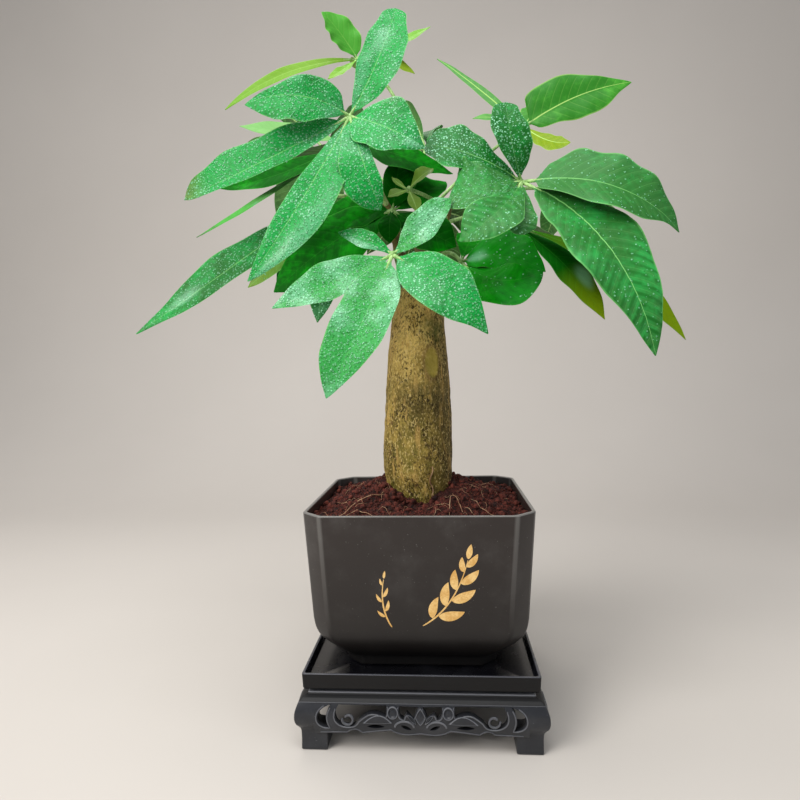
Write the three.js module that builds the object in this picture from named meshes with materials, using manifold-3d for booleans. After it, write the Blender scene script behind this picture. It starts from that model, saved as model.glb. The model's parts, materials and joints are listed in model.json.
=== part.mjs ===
// A potted money tree: a thick trunk with palmate leaves in a square pot, on a tray and a
// pierced stand. Millimetres, +Z up, origin under the middle of the stand, front towards -Y.
import * as THREE from "three";
import { mergeVertices } from "three/addons/utils/BufferGeometryUtils.js";
import Module from "manifold-3d";

const wasm = await Module();
wasm.setup();

// Driving dimensions
const POT_RIM_HALF = 65; // half the pot's width across the flats at its rim
const POT_RIM_Z = 129.4; // height of the pot's rim above the table
const TRAY_RIM_Z = 42.2;
const STAND_TOP_Z = 31;
const CORNER_CUT = 10.9; // the pot's corners are cut by this much of each side
const WALL = 1.9; // the pot's wall
const GAP = 0.3; // clearance between pieces that touch
const BLADE = 0.9; // thickness of a leaflet
const TRUNK_HALF = 22; // the trunk's widest radius

// Colours, as in the photograph
const COLOURS = {
  stand: [0x2b2c30, 0.45],
  tray: [0x1f2024, 0.35],
  pot: [0x3b3835, 0.5],
  soil: [0x4a2418, 0.95],
  trunk: [0x8d7440, 0.85],
  shoot: [0x6f6a35, 0.75],
  leaf: [0x2f9a45, 0.45],
  leafDark: [0x166b1c, 0.4],
  leafYoung: [0x7cc24a, 0.45],
};

const root = new THREE.Group();
const at = (x, y, z) => new THREE.Vector3(x, y, z);

// Helpers: solids, lofts and tubes

// A closed geometry as a solid, with the points that its faces share made one.
function solid(geometry) {
  const bare = geometry.clone();
  for (const name of ["normal", "uv"]) bare.deleteAttribute(name);
  const merged = mergeVertices(bare, 1e-4);
  return new wasm.Manifold(
    new wasm.Mesh({
      numProp: 3,
      vertProperties: new Float32Array(merged.attributes.position.array),
      triVerts: new Uint32Array(merged.index.array),
    }),
  );
}

function addPart(name, shape, colour) {
  const [hex, roughness] = COLOURS[colour];
  const made = shape.getMesh();
  const geometry = new THREE.BufferGeometry();
  geometry.setAttribute("position", new THREE.BufferAttribute(made.vertProperties, 3));
  geometry.setIndex(new THREE.BufferAttribute(made.triVerts, 1));
  geometry.computeVertexNormals();
  const material = new THREE.MeshStandardMaterial({ color: hex, roughness, metalness: 0 });
  const mesh = new THREE.Mesh(geometry, material);
  mesh.name = name;
  root.add(mesh);
}

// Joins rings of equally many points, the first lowest and each anticlockwise from above.
function loft(rings) {
  const count = rings[0].length;
  const last = (rings.length - 1) * count;
  const positions = rings.flat().flatMap((p) => [p.x, p.y, p.z]);
  const index = [];
  for (let r = 0; r < rings.length - 1; r++) {
    for (let i = 0; i < count; i++) {
      const a = r * count + i;
      const b = r * count + ((i + 1) % count);
      index.push(a, b, b + count, a, b + count, a + count);
    }
  }
  for (let i = 1; i < count - 1; i++) {
    index.push(0, i + 1, i);
    index.push(last, last + i, last + i + 1);
  }
  const geometry = new THREE.BufferGeometry();
  geometry.setAttribute("position", new THREE.Float32BufferAttribute(positions, 3));
  geometry.setIndex(index);
  return geometry;
}

// A direction that no stem runs along, from which the rings of a tube are laid out.
const ASIDE = at(0.31, 0.95, 0.05);

// A tube along a curve, its radius running from `thick` to `thin`.
function tube(curve, thick, thin, sides, steps) {
  const rings = [];
  for (let k = 0; k <= steps; k++) {
    const t = k / steps;
    const along = curve.getTangent(t);
    const side = ASIDE.clone().cross(along).normalize();
    const other = along.clone().cross(side);
    const radius = thick + (thin - thick) * t;
    const ring = [];
    for (let i = 0; i < sides; i++) {
      const turn = (2 * Math.PI * i) / sides;
      ring.push(
        curve
          .getPoint(t)
          .addScaledVector(side, radius * Math.cos(turn))
          .addScaledVector(other, radius * Math.sin(turn)),
      );
    }
    rings.push(ring);
  }
  return loft(rings);
}

// A square with cut corners, each side split for surfaces that need more points.
function cutSquare(half, cut, z, splits = 1) {
  const near = half - cut;
  const corners = [
    [near, -half], [half, -near], [half, near], [near, half],
    [-near, half], [-half, near], [-half, -near], [-near, -half],
  ];
  const ring = [];
  corners.forEach(([x, y], i) => {
    const [nextX, nextY] = corners[(i + 1) % corners.length];
    const parts = i % 2 ? splits : 1;
    for (let k = 0; k < parts; k++) {
      const share = k / parts;
      ring.push(at(x + (nextX - x) * share, y + (nextY - y) * share, z));
    }
  });
  return ring;
}

// A square ring, given as its half width and height.
function square([half, z]) {
  return [at(half, -half, z), at(half, half, z), at(-half, half, z), at(-half, -half, z)];
}

function union(solids) {
  return solids.reduce((joined, next) => joined.add(next));
}

// Stand: board with moulding, four feet, four pierced aprons

const APRON_FACE = 67.2; // outer face of an apron at its top and bottom
const APRON_THICK = 3.6;
const FOOT_OUT = 66; // outer and inner face of a foot, and its inner face above the apron's edge
const FOOT_IN = 51.5;
const FOOT_IN_ABOVE = 57;
const MOULDING_Z = 27.2; // lower edge of the stepped moulding
const CURVE_STEPS = 3; // straight pieces in each curve of the carving

// Half width and height of the board's steps, from its underside to its top.
const BOARD = [
  [63.4, 24.6], [63.4, 26.4], [67.1, 26.6], [67.1, MOULDING_Z], [65.4, 29], [62.8, 29.8],
  [62.3, STAND_TOP_Z],
];

// The stand's sides swell by this much below the moulding and come in again at the feet.
function swell(z) {
  const most = 2;
  const middle = 18.5;
  const reach = 8.5;
  return most * Math.max(0, 1 - ((z - middle) / reach) ** 2);
}

// The points of a closed path, without its first point repeated at the end.
function loopOf(path) {
  const points = path.getPoints(CURVE_STEPS);
  if (points[0].distanceTo(points[points.length - 1]) < 1e-6) points.pop();
  return points;
}

function lens(path, x, z, length, height, lean) {
  const ends = [-1, 1].map((s) => [
    x + (s * length * Math.cos(lean)) / 2,
    z + (s * length * Math.sin(lean)) / 2,
  ]);
  const up = [x - height * Math.sin(lean), z + height * Math.cos(lean)];
  const down = [x + height * Math.sin(lean), z - height * Math.cos(lean)];
  path.moveTo(...ends[0]);
  path.quadraticCurveTo(...up, ...ends[1]);
  path.quadraticCurveTo(...down, ...ends[0]);
}

// The holes in one half of an apron; `side` is -1 on its left half.
function apronHoles(side) {
  const crescent = new THREE.Path();
  crescent.moveTo(side * 48.5, 26.7);
  crescent.quadraticCurveTo(side * 56.6, 24.5, side * 56.4, 19.5);
  crescent.quadraticCurveTo(side * 56, 15, side * 50, 14.4);
  crescent.quadraticCurveTo(side * 53.6, 21.5, side * 48.5, 26.7);

  const scroll = new THREE.Path();
  scroll.moveTo(side * 44.8, 26.6);
  scroll.quadraticCurveTo(side * 49.4, 18, side * 41.8, 15.6);
  scroll.quadraticCurveTo(side * 35.6, 14.4, side * 34, 18.4);
  scroll.quadraticCurveTo(side * 31.6, 20.6, side * 28.6, 22.2);
  scroll.quadraticCurveTo(side * 24.4, 23.6, side * 18.9, 21);
  scroll.lineTo(side * 18.6, 26.5);

  const besideLotus = new THREE.Path();
  besideLotus.moveTo(side * 11.5, 26.3);
  besideLotus.lineTo(side * 11, 21.2);
  besideLotus.lineTo(side * 9, 20);
  besideLotus.lineTo(side * 7.4, 22.8);
  besideLotus.lineTo(side * 4, 19);
  besideLotus.lineTo(side * 3, 22);
  besideLotus.lineTo(side * 1, 26);

  const lobeSlot = new THREE.Path();
  lens(lobeSlot, side * 24.2, 15.6, 10, 2.2, 0);
  const petalSlot = new THREE.Path();
  lens(petalSlot, side * 7.8, 15.2, 6.6, 2, side * 0.42);
  const holes = [crescent, scroll, besideLotus, lobeSlot, petalSlot];
  return holes.map((hole) => new THREE.Path(loopOf(hole)));
}

function apron() {
  const outline = new THREE.Shape();
  outline.moveTo(-58, 28);
  outline.lineTo(-58, 10.4);
  outline.lineTo(-40, 11);
  outline.quadraticCurveTo(-36.5, 14.6, -33, 12);
  outline.lineTo(-31.5, 10.8);
  outline.quadraticCurveTo(-24, 12.2, -16, 13);
  outline.quadraticCurveTo(-12, 9.6, -6, 9.9);
  outline.lineTo(0, 10.9);
  outline.lineTo(6, 9.9);
  outline.quadraticCurveTo(12, 9.6, 16, 13);
  outline.quadraticCurveTo(24, 12.2, 31.5, 10.8);
  outline.lineTo(33, 12);
  outline.quadraticCurveTo(36.5, 14.6, 40, 11);
  outline.lineTo(58, 10.4);
  outline.lineTo(58, 28);
  const pierced = new THREE.Shape(loopOf(outline));
  pierced.holes.push(...apronHoles(-1), ...apronHoles(1));
  const geometry = new THREE.ExtrudeGeometry(pierced, { depth: APRON_THICK, bevelEnabled: false });
  geometry.rotateX(Math.PI / 2);
  geometry.translate(0, -APRON_FACE + APRON_THICK, 0);
  const position = geometry.attributes.position;
  for (let i = 0; i < position.count; i++) {
    position.setY(i, position.getY(i) - swell(position.getZ(i)));
  }
  return geometry;
}

function foot() {
  const levels = [
    [0, FOOT_OUT, FOOT_IN],
    [12, FOOT_OUT, FOOT_IN],
    [14.6, FOOT_OUT + 2, FOOT_IN_ABOVE],
    [18.5, FOOT_OUT + 3.2, FOOT_IN_ABOVE],
    [22, FOOT_OUT + 3, FOOT_IN_ABOVE],
    [MOULDING_Z, FOOT_OUT + 1.1, FOOT_IN_ABOVE],
  ];
  return loft(
    levels.map(([z, out, inner]) => [
      at(inner, inner, z), at(out, inner, z), at(out, out, z), at(inner, out, z),
    ]),
  );
}

function makeStand() {
  const pieces = [solid(loft(BOARD.map(square)))];
  for (let i = 0; i < 4; i++) {
    const turn = (i * Math.PI) / 2;
    pieces.push(solid(apron().rotateZ(turn)), solid(foot().rotateZ(turn)));
  }
  addPart("stand", union(pieces), "stand");
}

// Tray: a flat floor with a raised rim on a low foot ring

const TRAY_HALF = 65.3;
const TRAY_FLOOR_Z = 37.4;
const TRAY_FOOT_Z = STAND_TOP_Z + GAP;

// Half width and height of the tray's outside, its inside and the hollow of its underside.
const TRAY_OUTSIDE = [
  [59, TRAY_FOOT_Z], [59.6, 34.6], [64.6, 36.6], [TRAY_HALF, 37.2], [TRAY_HALF, TRAY_RIM_Z],
];
const TRAY_INSIDE = [[62.8, TRAY_FLOOR_Z], [63.8, TRAY_RIM_Z + 1]];
const TRAY_BELOW = [[56, TRAY_FOOT_Z - 1], [56, 33.9]];

function makeTray() {
  const [outside, inside, below] = [TRAY_OUTSIDE, TRAY_INSIDE, TRAY_BELOW].map((levels) =>
    solid(loft(levels.map(square))),
  );
  addPart("tray", outside.subtract(inside).subtract(below), "tray");
}

// Pot: tapered, with cut corners, a rounded lower edge, a recessed foot and drain holes

const POT_FOOT_Z = TRAY_FLOOR_Z + GAP;
const POT_FLOOR_Z = 43.4;
const POT_FOOT_HALF = 44;
const RECESS_HALF = 39.5; // hollow under the foot
const RECESS_DEEP = 3.7;
const DRAIN_RADIUS = 3;
const DRAIN_SPACING = 24;

// The pot's outer half width by height, from the foot to the rim.
const POT_OUTSIDE = [
  [POT_FOOT_Z, POT_FOOT_HALF], [43.6, POT_FOOT_HALF], [44.6, 47.2], [47.5, 50.4],
  [52, 54.6], [57, 58.2], [62, 60.2], [68, 61.2], [POT_RIM_Z, POT_RIM_HALF],
];
const POT_INSIDE = [
  [POT_FLOOR_Z, 43], [46.4, 47.4], [50, 51], [56, 55.6], [61.6, 58.2], [68, 59.3],
  [POT_RIM_Z + 1, POT_RIM_HALF - WALL],
];

// The pot's outline at one height, moved inwards by `inset`. Its cut corners narrow downwards.
function potRing(half, z, inset = 0, splits = 1) {
  const cut = CORNER_CUT * Math.sqrt(half / POT_RIM_HALF);
  return cutSquare(half - inset, cut, z, splits);
}

function makePot() {
  const shape = (levels) => solid(loft(levels.map(([z, half]) => potRing(half, z))));
  const recess = shape([[POT_FOOT_Z - 1, RECESS_HALF], [POT_FOOT_Z + RECESS_DEEP, RECESS_HALF]]);
  let pot = shape(POT_OUTSIDE).subtract(shape(POT_INSIDE)).subtract(recess);
  for (const x of [-DRAIN_SPACING, 0, DRAIN_SPACING]) {
    for (const y of [-DRAIN_SPACING, 0, DRAIN_SPACING]) {
      const hole = new THREE.CylinderGeometry(DRAIN_RADIUS, DRAIN_RADIUS, 8, 10);
      hole.rotateX(Math.PI / 2).translate(x, y, POT_FLOOR_Z - 1);
      pot = pot.subtract(solid(hole));
    }
  }
  addPart("pot", pot, "pot");
}

// Trunk: rings that swell and taper, with a buried root end and a domed cut top

// Height, radius and sideways place of the trunk's middle.
const TRUNK_LEVELS = [
  [104, 7, 1], [110, 12.5, 1], [118, 16.6, 0.5], [128, 19.4, 0], [138, 20.9, -0.6],
  [148, TRUNK_HALF, -1], [166, 21.7, -1], [190, 20.8, -1], [213, 19.3, -1],
  [236, 17, -0.4], [250, 15.6, 0.4], [258, 13.8, 0.8], [263, 10.4, 0.8],
];
const TRUNK_SIDES = 14;

function trunkRings(extra) {
  return TRUNK_LEVELS.map(([z, radius, x], k) => {
    const ring = [];
    for (let i = 0; i < TRUNK_SIDES; i++) {
      const turn = (2 * Math.PI * i) / TRUNK_SIDES;
      const lobes = 0.022 * Math.sin(3 * turn + z / 31) + 0.012 * Math.sin(5 * turn - z / 17);
      const reach = radius * (1 + lobes) + extra;
      const level = k === 0 ? z - extra : z;
      ring.push(at(x + reach * Math.cos(turn), reach * Math.sin(turn), level));
    }
    return ring;
  });
}

// Shoots: short woody stems out of the cut top, each in a socket of the trunk

const curve3 = (...points) => new THREE.QuadraticBezierCurve3(...points.map((p) => at(...p)));

const SHOOTS = {
  shoot_left: { path: curve3([-5, -4, 252], [-10, -9, 286], [-20, -12, 319]), radius: 4.4 },
  shoot_right: { path: curve3([7, -5, 252], [12, -11, 284], [22, -8, 313]), radius: 4.8 },
  shoot_back: { path: curve3([1, 7, 252], [3, 15, 292], [0, 18, 336]), radius: 4.4 },
};
const SHOOT_TIP = 2.5; // radius of a shoot at its upper end
const SHOOT_SIDES = 8;

function shootSolid(shoot, extra) {
  return solid(tube(shoot.path, shoot.radius + extra, SHOOT_TIP + extra, SHOOT_SIDES, 6));
}

// The same shoot with its clearance all round and past its lower end, to cut sockets with.
function shootSocket(shoot) {
  const start = shoot.path.getPoint(0);
  const back = start.clone().addScaledVector(shoot.path.getTangent(0), -GAP);
  const stub = new THREE.LineCurve3(back, shoot.path.getPoint(0.04));
  const wide = shoot.radius + GAP;
  return shootSolid(shoot, GAP).add(solid(tube(stub, wide, wide, SHOOT_SIDES, 1)));
}

function makeTrunk() {
  let trunk = solid(loft(trunkRings(0)));
  for (const shoot of Object.values(SHOOTS)) trunk = trunk.subtract(shootSocket(shoot));
  addPart("trunk", trunk, "trunk");
  for (const [name, shoot] of Object.entries(SHOOTS)) {
    addPart(name, shootSolid(shoot, 0), "shoot");
  }
}

// Soil: fills the pot, mounded round the trunk, with crumbs on top and a hole for the trunk

const SOIL_EDGE_Z = 124;
const SOIL_EDGE_HALF = 62.7; // the pot's inner half width at that height
const SOIL_SPLITS = 6; // points along each side
const SOIL_RINGS = 7; // rings of points from the edge to the middle
const SOIL_RISE = 18.5;
const SOIL_DIP = 12; // the mound falls away in front of the trunk
const DIP_AT = { x: 3, y: -31, spread: 300 };

function soilHeight(x, y, level) {
  const mound = SOIL_RISE * (1 - level ** 1.6);
  const away = (x - DIP_AT.x) ** 2 + (y - DIP_AT.y) ** 2;
  const dip = SOIL_DIP * Math.exp(-away / DIP_AT.spread);
  const crumbs = 1.1 * Math.sin(x * 0.83 + y * 0.31) * Math.sin(y * 0.77 - x * 0.29);
  return SOIL_EDGE_Z + mound - dip * (1 - level ** 3) + crumbs;
}

function makeSoil() {
  const clear = GAP + 0.1; // the soil's sides are sloped, so they stand a little further off
  const rings = POT_INSIDE.slice(0, -1).map(([z, half]) =>
    potRing(half, Math.max(z, POT_FLOOR_Z + GAP), clear, SOIL_SPLITS),
  );
  const edge = potRing(SOIL_EDGE_HALF, 0, clear, SOIL_SPLITS);
  for (let k = 0; k < SOIL_RINGS; k++) {
    const level = 1 - k / SOIL_RINGS;
    const ring = edge.map((p) => p.clone().multiplyScalar(level));
    rings.push(ring.map((p) => at(p.x, p.y, soilHeight(p.x, p.y, level))));
  }
  const soil = solid(loft(rings)).subtract(solid(loft(trunkRings(GAP))));
  addPart("soil", soil, "soil");
}

// Leaves: a stalk from a shoot to a hub, and leaflets that spread from the hub

// Where a leaflet is cut across, as shares of its length, and the same for a narrow one.
const STATIONS = [0, 0.07, 0.18, 0.34, 0.52, 0.7, 0.86, 1];
const FEW_STATIONS = [0, 0.09, 0.3, 0.55, 0.8, 1];
const NARROW = 8; // a leaflet under this half width is a narrow one
const STALK_NEAR = 1.5; // radius of a leaf stalk at the shoot and at the hub
const STALK_FAR = 1;
const HUB = 2; // radius of the knob in which the leaflets join
const NECK = 1.1; // half width of a leaflet's own short stalk, and at its blunt tip
const TIP = 0.5;
const FOLD = 0.2; // how far the two halves of a leaflet are folded up, in radians

// Half width along a leaflet: a narrow neck, widest past the middle, then a pointed tip.
function bladeProfile(t) {
  const s = Math.max(0, (t - 0.05) / 0.95);
  return Math.sin(Math.PI * s ** 1.22) ** 0.92;
}

// Shares of a leaflet's length at which the widths of its two sides are given.
const WIDTH_AT = [0.12, 0.3, 0.5, 0.7, 0.88];

// How far one side of a leaflet reaches from its rib. A blunt one stays wide to its end.
function sideWidth(blade, hand, t) {
  const given = hand < 0 ? blade.left : blade.right;
  if (!given) return blade.half * bladeProfile(t);
  const shares = [0.02, ...WIDTH_AT, 1];
  const widths = [NECK, ...given, blade.blunt ? given[4] * 0.45 : TIP];
  const k = Math.max(1, shares.findIndex((share) => share >= t));
  const part = Math.max(0, (t - shares[k - 1]) / (shares[k] - shares[k - 1]));
  return widths[k - 1] + (widths[k] - widths[k - 1]) * part;
}

function spineOf(hub, { tip, mid, arch = 8 }) {
  const end = at(...tip);
  const chordMid = hub.clone().add(end).multiplyScalar(0.5);
  const middle = mid ? at(...mid) : chordMid.clone().add(at(0, 0, arch));
  const control = middle.multiplyScalar(2).sub(chordMid);
  return new THREE.QuadraticBezierCurve3(hub, control, end);
}

// One leaflet: three points across, doubled for its thickness. Both faces are split alike.
function leaflet(hub, blade, face) {
  const spine = spineOf(hub, blade);
  const faceDirection = at(...(blade.face ?? face)).normalize();
  const widest = blade.half ?? Math.max(...blade.left, ...blade.right);
  const stations = widest < NARROW ? FEW_STATIONS : STATIONS;
  const positions = [];
  const index = [];
  stations.forEach((t) => {
    const middle = spine.getPoint(t);
    const along = spine.getTangent(t);
    const across = along.clone().cross(faceDirection).normalize();
    const normal = across.clone().cross(along).normalize();
    for (const side of [1, -1]) {
      for (const hand of [-1, 0, 1]) {
        const width = Math.max(t < 0.1 ? NECK : TIP, sideWidth(blade, hand, t));
        const point = middle
          .clone()
          .addScaledVector(across, hand * width * Math.cos(FOLD))
          .addScaledVector(normal, Math.abs(hand) * width * Math.sin(FOLD) + (side * BLADE) / 2);
        positions.push(point.x, point.y, point.z);
      }
    }
  });
  for (let k = 0; k < stations.length - 1; k++) {
    const a = k * 6;
    const b = a + 6;
    for (const left of [0, 1]) {
      const [p, q, r, s] = [a + left, a + left + 1, b + left + 1, b + left];
      index.push(p, q, r, p, r, s);
      index.push(p + 3, r + 3, q + 3, p + 3, s + 3, r + 3);
    }
    index.push(a, b, b + 3, a, b + 3, a + 3);
    index.push(a + 2, a + 5, b + 5, a + 2, b + 5, b + 2);
  }
  const end = (stations.length - 1) * 6;
  for (const left of [0, 1]) {
    const [p, q] = [left, left + 1];
    index.push(q, p, p + 3, q, p + 3, q + 3);
    index.push(end + p, end + q, end + q + 3, end + p, end + q + 3, end + p + 3);
  }
  const geometry = new THREE.BufferGeometry();
  geometry.setAttribute("position", new THREE.Float32BufferAttribute(positions, 3));
  geometry.setIndex(index);
  return solid(geometry);
}

// Each leaf: the shoot it grows on and how far up, the stalk's bend, the hub, the way its
// upper face looks, and its leaflets by tip, middle of the rib and half width, or by the
// widths of their left and right sides.
const LEAVES = {
  leaf_upper_left: {
    shoot: "shoot_left", up: 0.86, bend: [-24, -42, 326], hub: [-32, -60, 344],
    face: [0.05, -0.95, 0.3], colour: "leaf",
    blades: [
      {
        tip: [-7, -48, 406], mid: [-17, -62, 370],
        left: [3, 7, 10, 10, 7.5], right: [4, 10, 13, 12.5, 8], blunt: true,
      },
      {
        tip: [-82, -82, 343], mid: [-56, -76, 349],
        left: [5, 12, 16, 16, 10], right: [9, 14, 11, 6, 2.5],
      },
      {
        tip: [-120, -70, 301], mid: [-72, -78, 317],
        left: [3, 6, 6.5, 5, 3], right: [7, 12, 12.5, 11, 5],
      },
      {
        tip: [-80, -92, 253], mid: [-53, -87, 293],
        left: [5, 14, 16, 13, 6], right: [3, 6, 8, 7, 3.5],
      },
      {
        tip: [8, -72, 321], mid: [-10, -74, 331],
        left: [9, 19, 17, 11, 4.5], right: [7, 15, 15, 10, 4.5],
      },
      {
        tip: [-15, -74, 290], mid: [-23, -78, 313],
        left: [3, 5, 5.5, 6, 4], right: [5, 9, 13, 14, 9],
      },
    ],
  },
  leaf_front: {
    shoot: "shoot_left", up: 0.45, bend: [-9, -48, 272], hub: [-9, -80, 266],
    face: [0, -0.9, 0.35], colour: "leaf",
    blades: [
      {
        tip: [-37, -76, 279], mid: [-22, -80, 274],
        left: [1.5, 3.5, 5.5, 4.5, 2.5], right: [1.5, 3.5, 5, 4.5, 2.5],
      },
      {
        tip: [21, -79, 293], mid: [6, -82, 278],
        left: [2, 6.5, 9, 8.5, 6.5], right: [2.5, 5.5, 8, 6, 3.5],
      },
      {
        tip: [-67, -96, 239], mid: [-38, -92, 251],
        left: [5, 9, 9.5, 7, 3], right: [4, 9.5, 12, 9.5, 4.5],
      },
      {
        tip: [-40, -104, 195], mid: [-24, -102, 227],
        left: [7.5, 13, 13, 9, 4], right: [7, 13.5, 14, 13, 7],
      },
      {
        tip: [37, -96, 224], mid: [16, -96, 246],
        left: [7, 13.5, 15.5, 11, 4.5], right: [6, 12.5, 13, 9.5, 3.5],
      },
    ],
  },
  leaf_right: {
    shoot: "shoot_right", up: 0.92, bend: [36, -38, 308], hub: [59, -55, 307],
    face: [0.1, -0.85, 0.5], colour: "leaf",
    blades: [
      {
        tip: [51, -58, 348], mid: [53, -64, 325],
        left: [2, 5, 8, 10, 8], right: [5, 9.5, 11, 10, 6.5], blunt: true,
      },
      {
        tip: [8, -60, 327], mid: [34, -63, 319],
        left: [3, 7, 11, 15, 9], right: [3, 7, 13, 17, 14], blunt: true,
      },
      {
        tip: [20, -70, 296], mid: [38, -75, 300],
        left: [3, 7, 12, 14, 11], right: [5, 13, 17, 20, 19], blunt: true,
      },
      {
        tip: [24, -92, 269], mid: [43, -89, 283],
        left: [3, 8, 13, 10, 5], right: [3, 7, 11, 12, 8],
      },
      {
        tip: [57, -84, 273], mid: [56, -78, 287],
        left: [2, 4, 6, 7, 6], right: [3, 6, 8, 9, 8], blunt: true,
      },
      {
        tip: [138, -62, 276], mid: [102, -72, 298],
        left: [12, 21, 21, 18, 10], right: [8, 14, 17, 14, 4.5],
      },
      {
        tip: [117, -88, 212], mid: [96, -82, 267],
        left: [5, 15, 20, 15, 8], right: [7, 17, 20.5, 15.5, 7],
      },
    ],
  },
  leaf_high_right: {
    shoot: "shoot_back", up: 0.66, bend: [40, 22, 348], hub: [71, 20, 366],
    face: [-0.1, -0.8, 0.55], colour: "leafYoung",
    blades: [
      {
        tip: [139, 18, 390], mid: [103, 12, 380],
        left: [16, 18, 15.5, 9, 4], right: [7, 11, 15, 13, 5], face: [0, -1, 0.15],
      },
      { tip: [97, 2, 348], mid: [84, 8, 352], left: [2, 4, 5.5, 5.5, 3.5], right: [3, 6, 8, 9, 4] },
      { tip: [15, 34, 420], mid: [36, 30, 402], left: [3, 4, 3, 2, 1], right: [3, 4, 3, 2, 1] },
      { tip: [37, 8, 368], mid: [53, 12, 369], half: 4 },
      { tip: [104, 90, 415], mid: [86, 55, 393], half: 13, face: [-0.2, -0.3, 0.9] },
    ],
  },
  leaf_high_left: {
    shoot: "shoot_back", up: 0.97, bend: [-3, 16, 392], hub: [-37, 15, 413],
    face: [0, -0.7, 0.7], colour: "leafYoung",
    blades: [
      {
        tip: [-58, 4, 438], mid: [-47, 10, 427],
        left: [4, 10.5, 13, 12, 6], right: [6.5, 12.5, 14.5, 13, 7],
      },
      {
        tip: [-123, 4, 380], mid: [-84, 12, 405],
        left: [1.5, 3, 4, 3.5, 2], right: [2, 4, 5, 4, 2], face: [0.1, -1, 0.3],
      },
      { tip: [-55, 4, 396], mid: [-46, 8, 403], half: 5 },
      { tip: [11, 24, 436], mid: [-12, 22, 425], half: 6 },
      { tip: [0, 26, 407], mid: [-18, 22, 414], half: 8 },
      { tip: [-34, 84, 430], mid: [-36, 50, 429], half: 12, face: [0, -0.2, 0.95] },
    ],
  },
  leaf_low_left: {
    shoot: "shoot_left", up: 0.7, bend: [-38, -22, 320], hub: [-53, -25, 311],
    face: [0.1, -0.85, 0.5], colour: "leaf",
    blades: [
      {
        tip: [-160, -50, 232], mid: [-114, -40, 265],
        left: [5, 9, 8, 7, 2.5], right: [4, 11, 13.5, 8, 3],
      },
      { tip: [-97, -40, 258], mid: [-76, -36, 279], half: 7 },
      { tip: [-83, -30, 256], mid: [-65, -28, 285], half: 12 },
      { tip: [-55, -48, 236], mid: [-53, -33, 272], half: 10 },
      { tip: [-95, 42, 314], mid: [-77, 10, 319], half: 12, face: [-0.2, 0, 0.95] },
    ],
  },
  leaf_low_right: {
    shoot: "shoot_right", up: 0.38, bend: [20, -26, 282], hub: [27, -32, 270],
    face: [0.1, -0.85, 0.5], colour: "leafDark",
    blades: [
      {
        tip: [73, -44, 261], mid: [48, -42, 271],
        left: [5, 14, 19, 17, 9], right: [3, 6, 8, 7, 4],
      },
      {
        tip: [69, -60, 259], mid: [46, -57, 255],
        left: [4, 11, 13, 11, 5], right: [6, 15, 19, 17, 8],
      },
      { tip: [27, -44, 240], mid: [23, -40, 256], half: 10 },
      { tip: [44, 14, 296], mid: [34, -12, 287], half: 10, face: [0.3, 0, 0.9] },
    ],
  },
  leaf_right_behind: {
    shoot: "shoot_right", up: 0.74, bend: [42, 4, 311], hub: [61, 8, 300],
    face: [0.1, -0.7, 0.7], colour: "leafDark",
    blades: [
      { tip: [115, -6, 237], mid: [91, 2, 274], half: 12 },
      { tip: [160, -14, 223], mid: [120, -6, 268], half: 11 },
      { tip: [108, 95, 291], mid: [78, 50, 303], half: 13, face: [0, 0, 1] },
      { tip: [44, 66, 282], mid: [56, 35, 300], half: 10, face: [0, 0, 1] },
    ],
  },
  leaf_left_behind: {
    shoot: "shoot_left", up: 1, bend: [-28, -16, 336], hub: [-40, -28, 343],
    face: [0, -0.8, 0.6], colour: "leafDark",
    blades: [
      { tip: [-125, -44, 287], mid: [-82, -40, 312], half: 4 },
      { tip: [-112, -38, 316], mid: [-73, -38, 324], half: 9 },
      { tip: [-101, -34, 353], mid: [-69, -30, 349], half: 8 },
      {
        tip: [23, -28, 322], mid: [-7, -36, 331],
        left: [3, 7, 9, 8, 4], right: [2, 9, 14, 12, 6],
      },
      { tip: [-86, 30, 345], mid: [-62, 5, 350], half: 11, face: [0, 0, 1] },
    ],
  },
  leaf_centre: {
    shoot: "shoot_right", up: 0.8, bend: [18, -46, 302], hub: [-2, -48, 308],
    face: [0, -0.8, 0.6], colour: "leafYoung",
    blades: [
      { tip: [12, -50, 318], mid: [5, -52, 313], half: 5 },
      { tip: [-11, -48, 315], mid: [-7, -48, 311], half: 2 },
      { tip: [-13, -53, 303], mid: [-8, -51, 305], half: 3.6 },
      { tip: [3, -55, 294], mid: [1, -53, 300], half: 3.6 },
    ],
  },
  leaf_middle: {
    shoot: "shoot_left", up: 0.6, bend: [-15, -26, 292], hub: [-12, -36, 300],
    face: [0, -0.9, 0.4], colour: "leafDark",
    blades: [
      {
        tip: [-80, -46, 254], mid: [-44, -42, 283],
        left: [6, 15, 22, 22, 12], right: [6, 14, 17, 15, 8],
      },
      { tip: [-54, -32, 300], mid: [-30, -36, 300], half: 12 },
      { tip: [24, -46, 276], mid: [6, -44, 287], half: 13 },
      {
        tip: [19, -20, 320], mid: [6, -33, 310],
        left: [4, 10, 15, 13, 6], right: [3, 7, 8, 7, 4],
      },
      {
        tip: [-7, -30, 333], mid: [-9, -38, 317],
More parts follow.
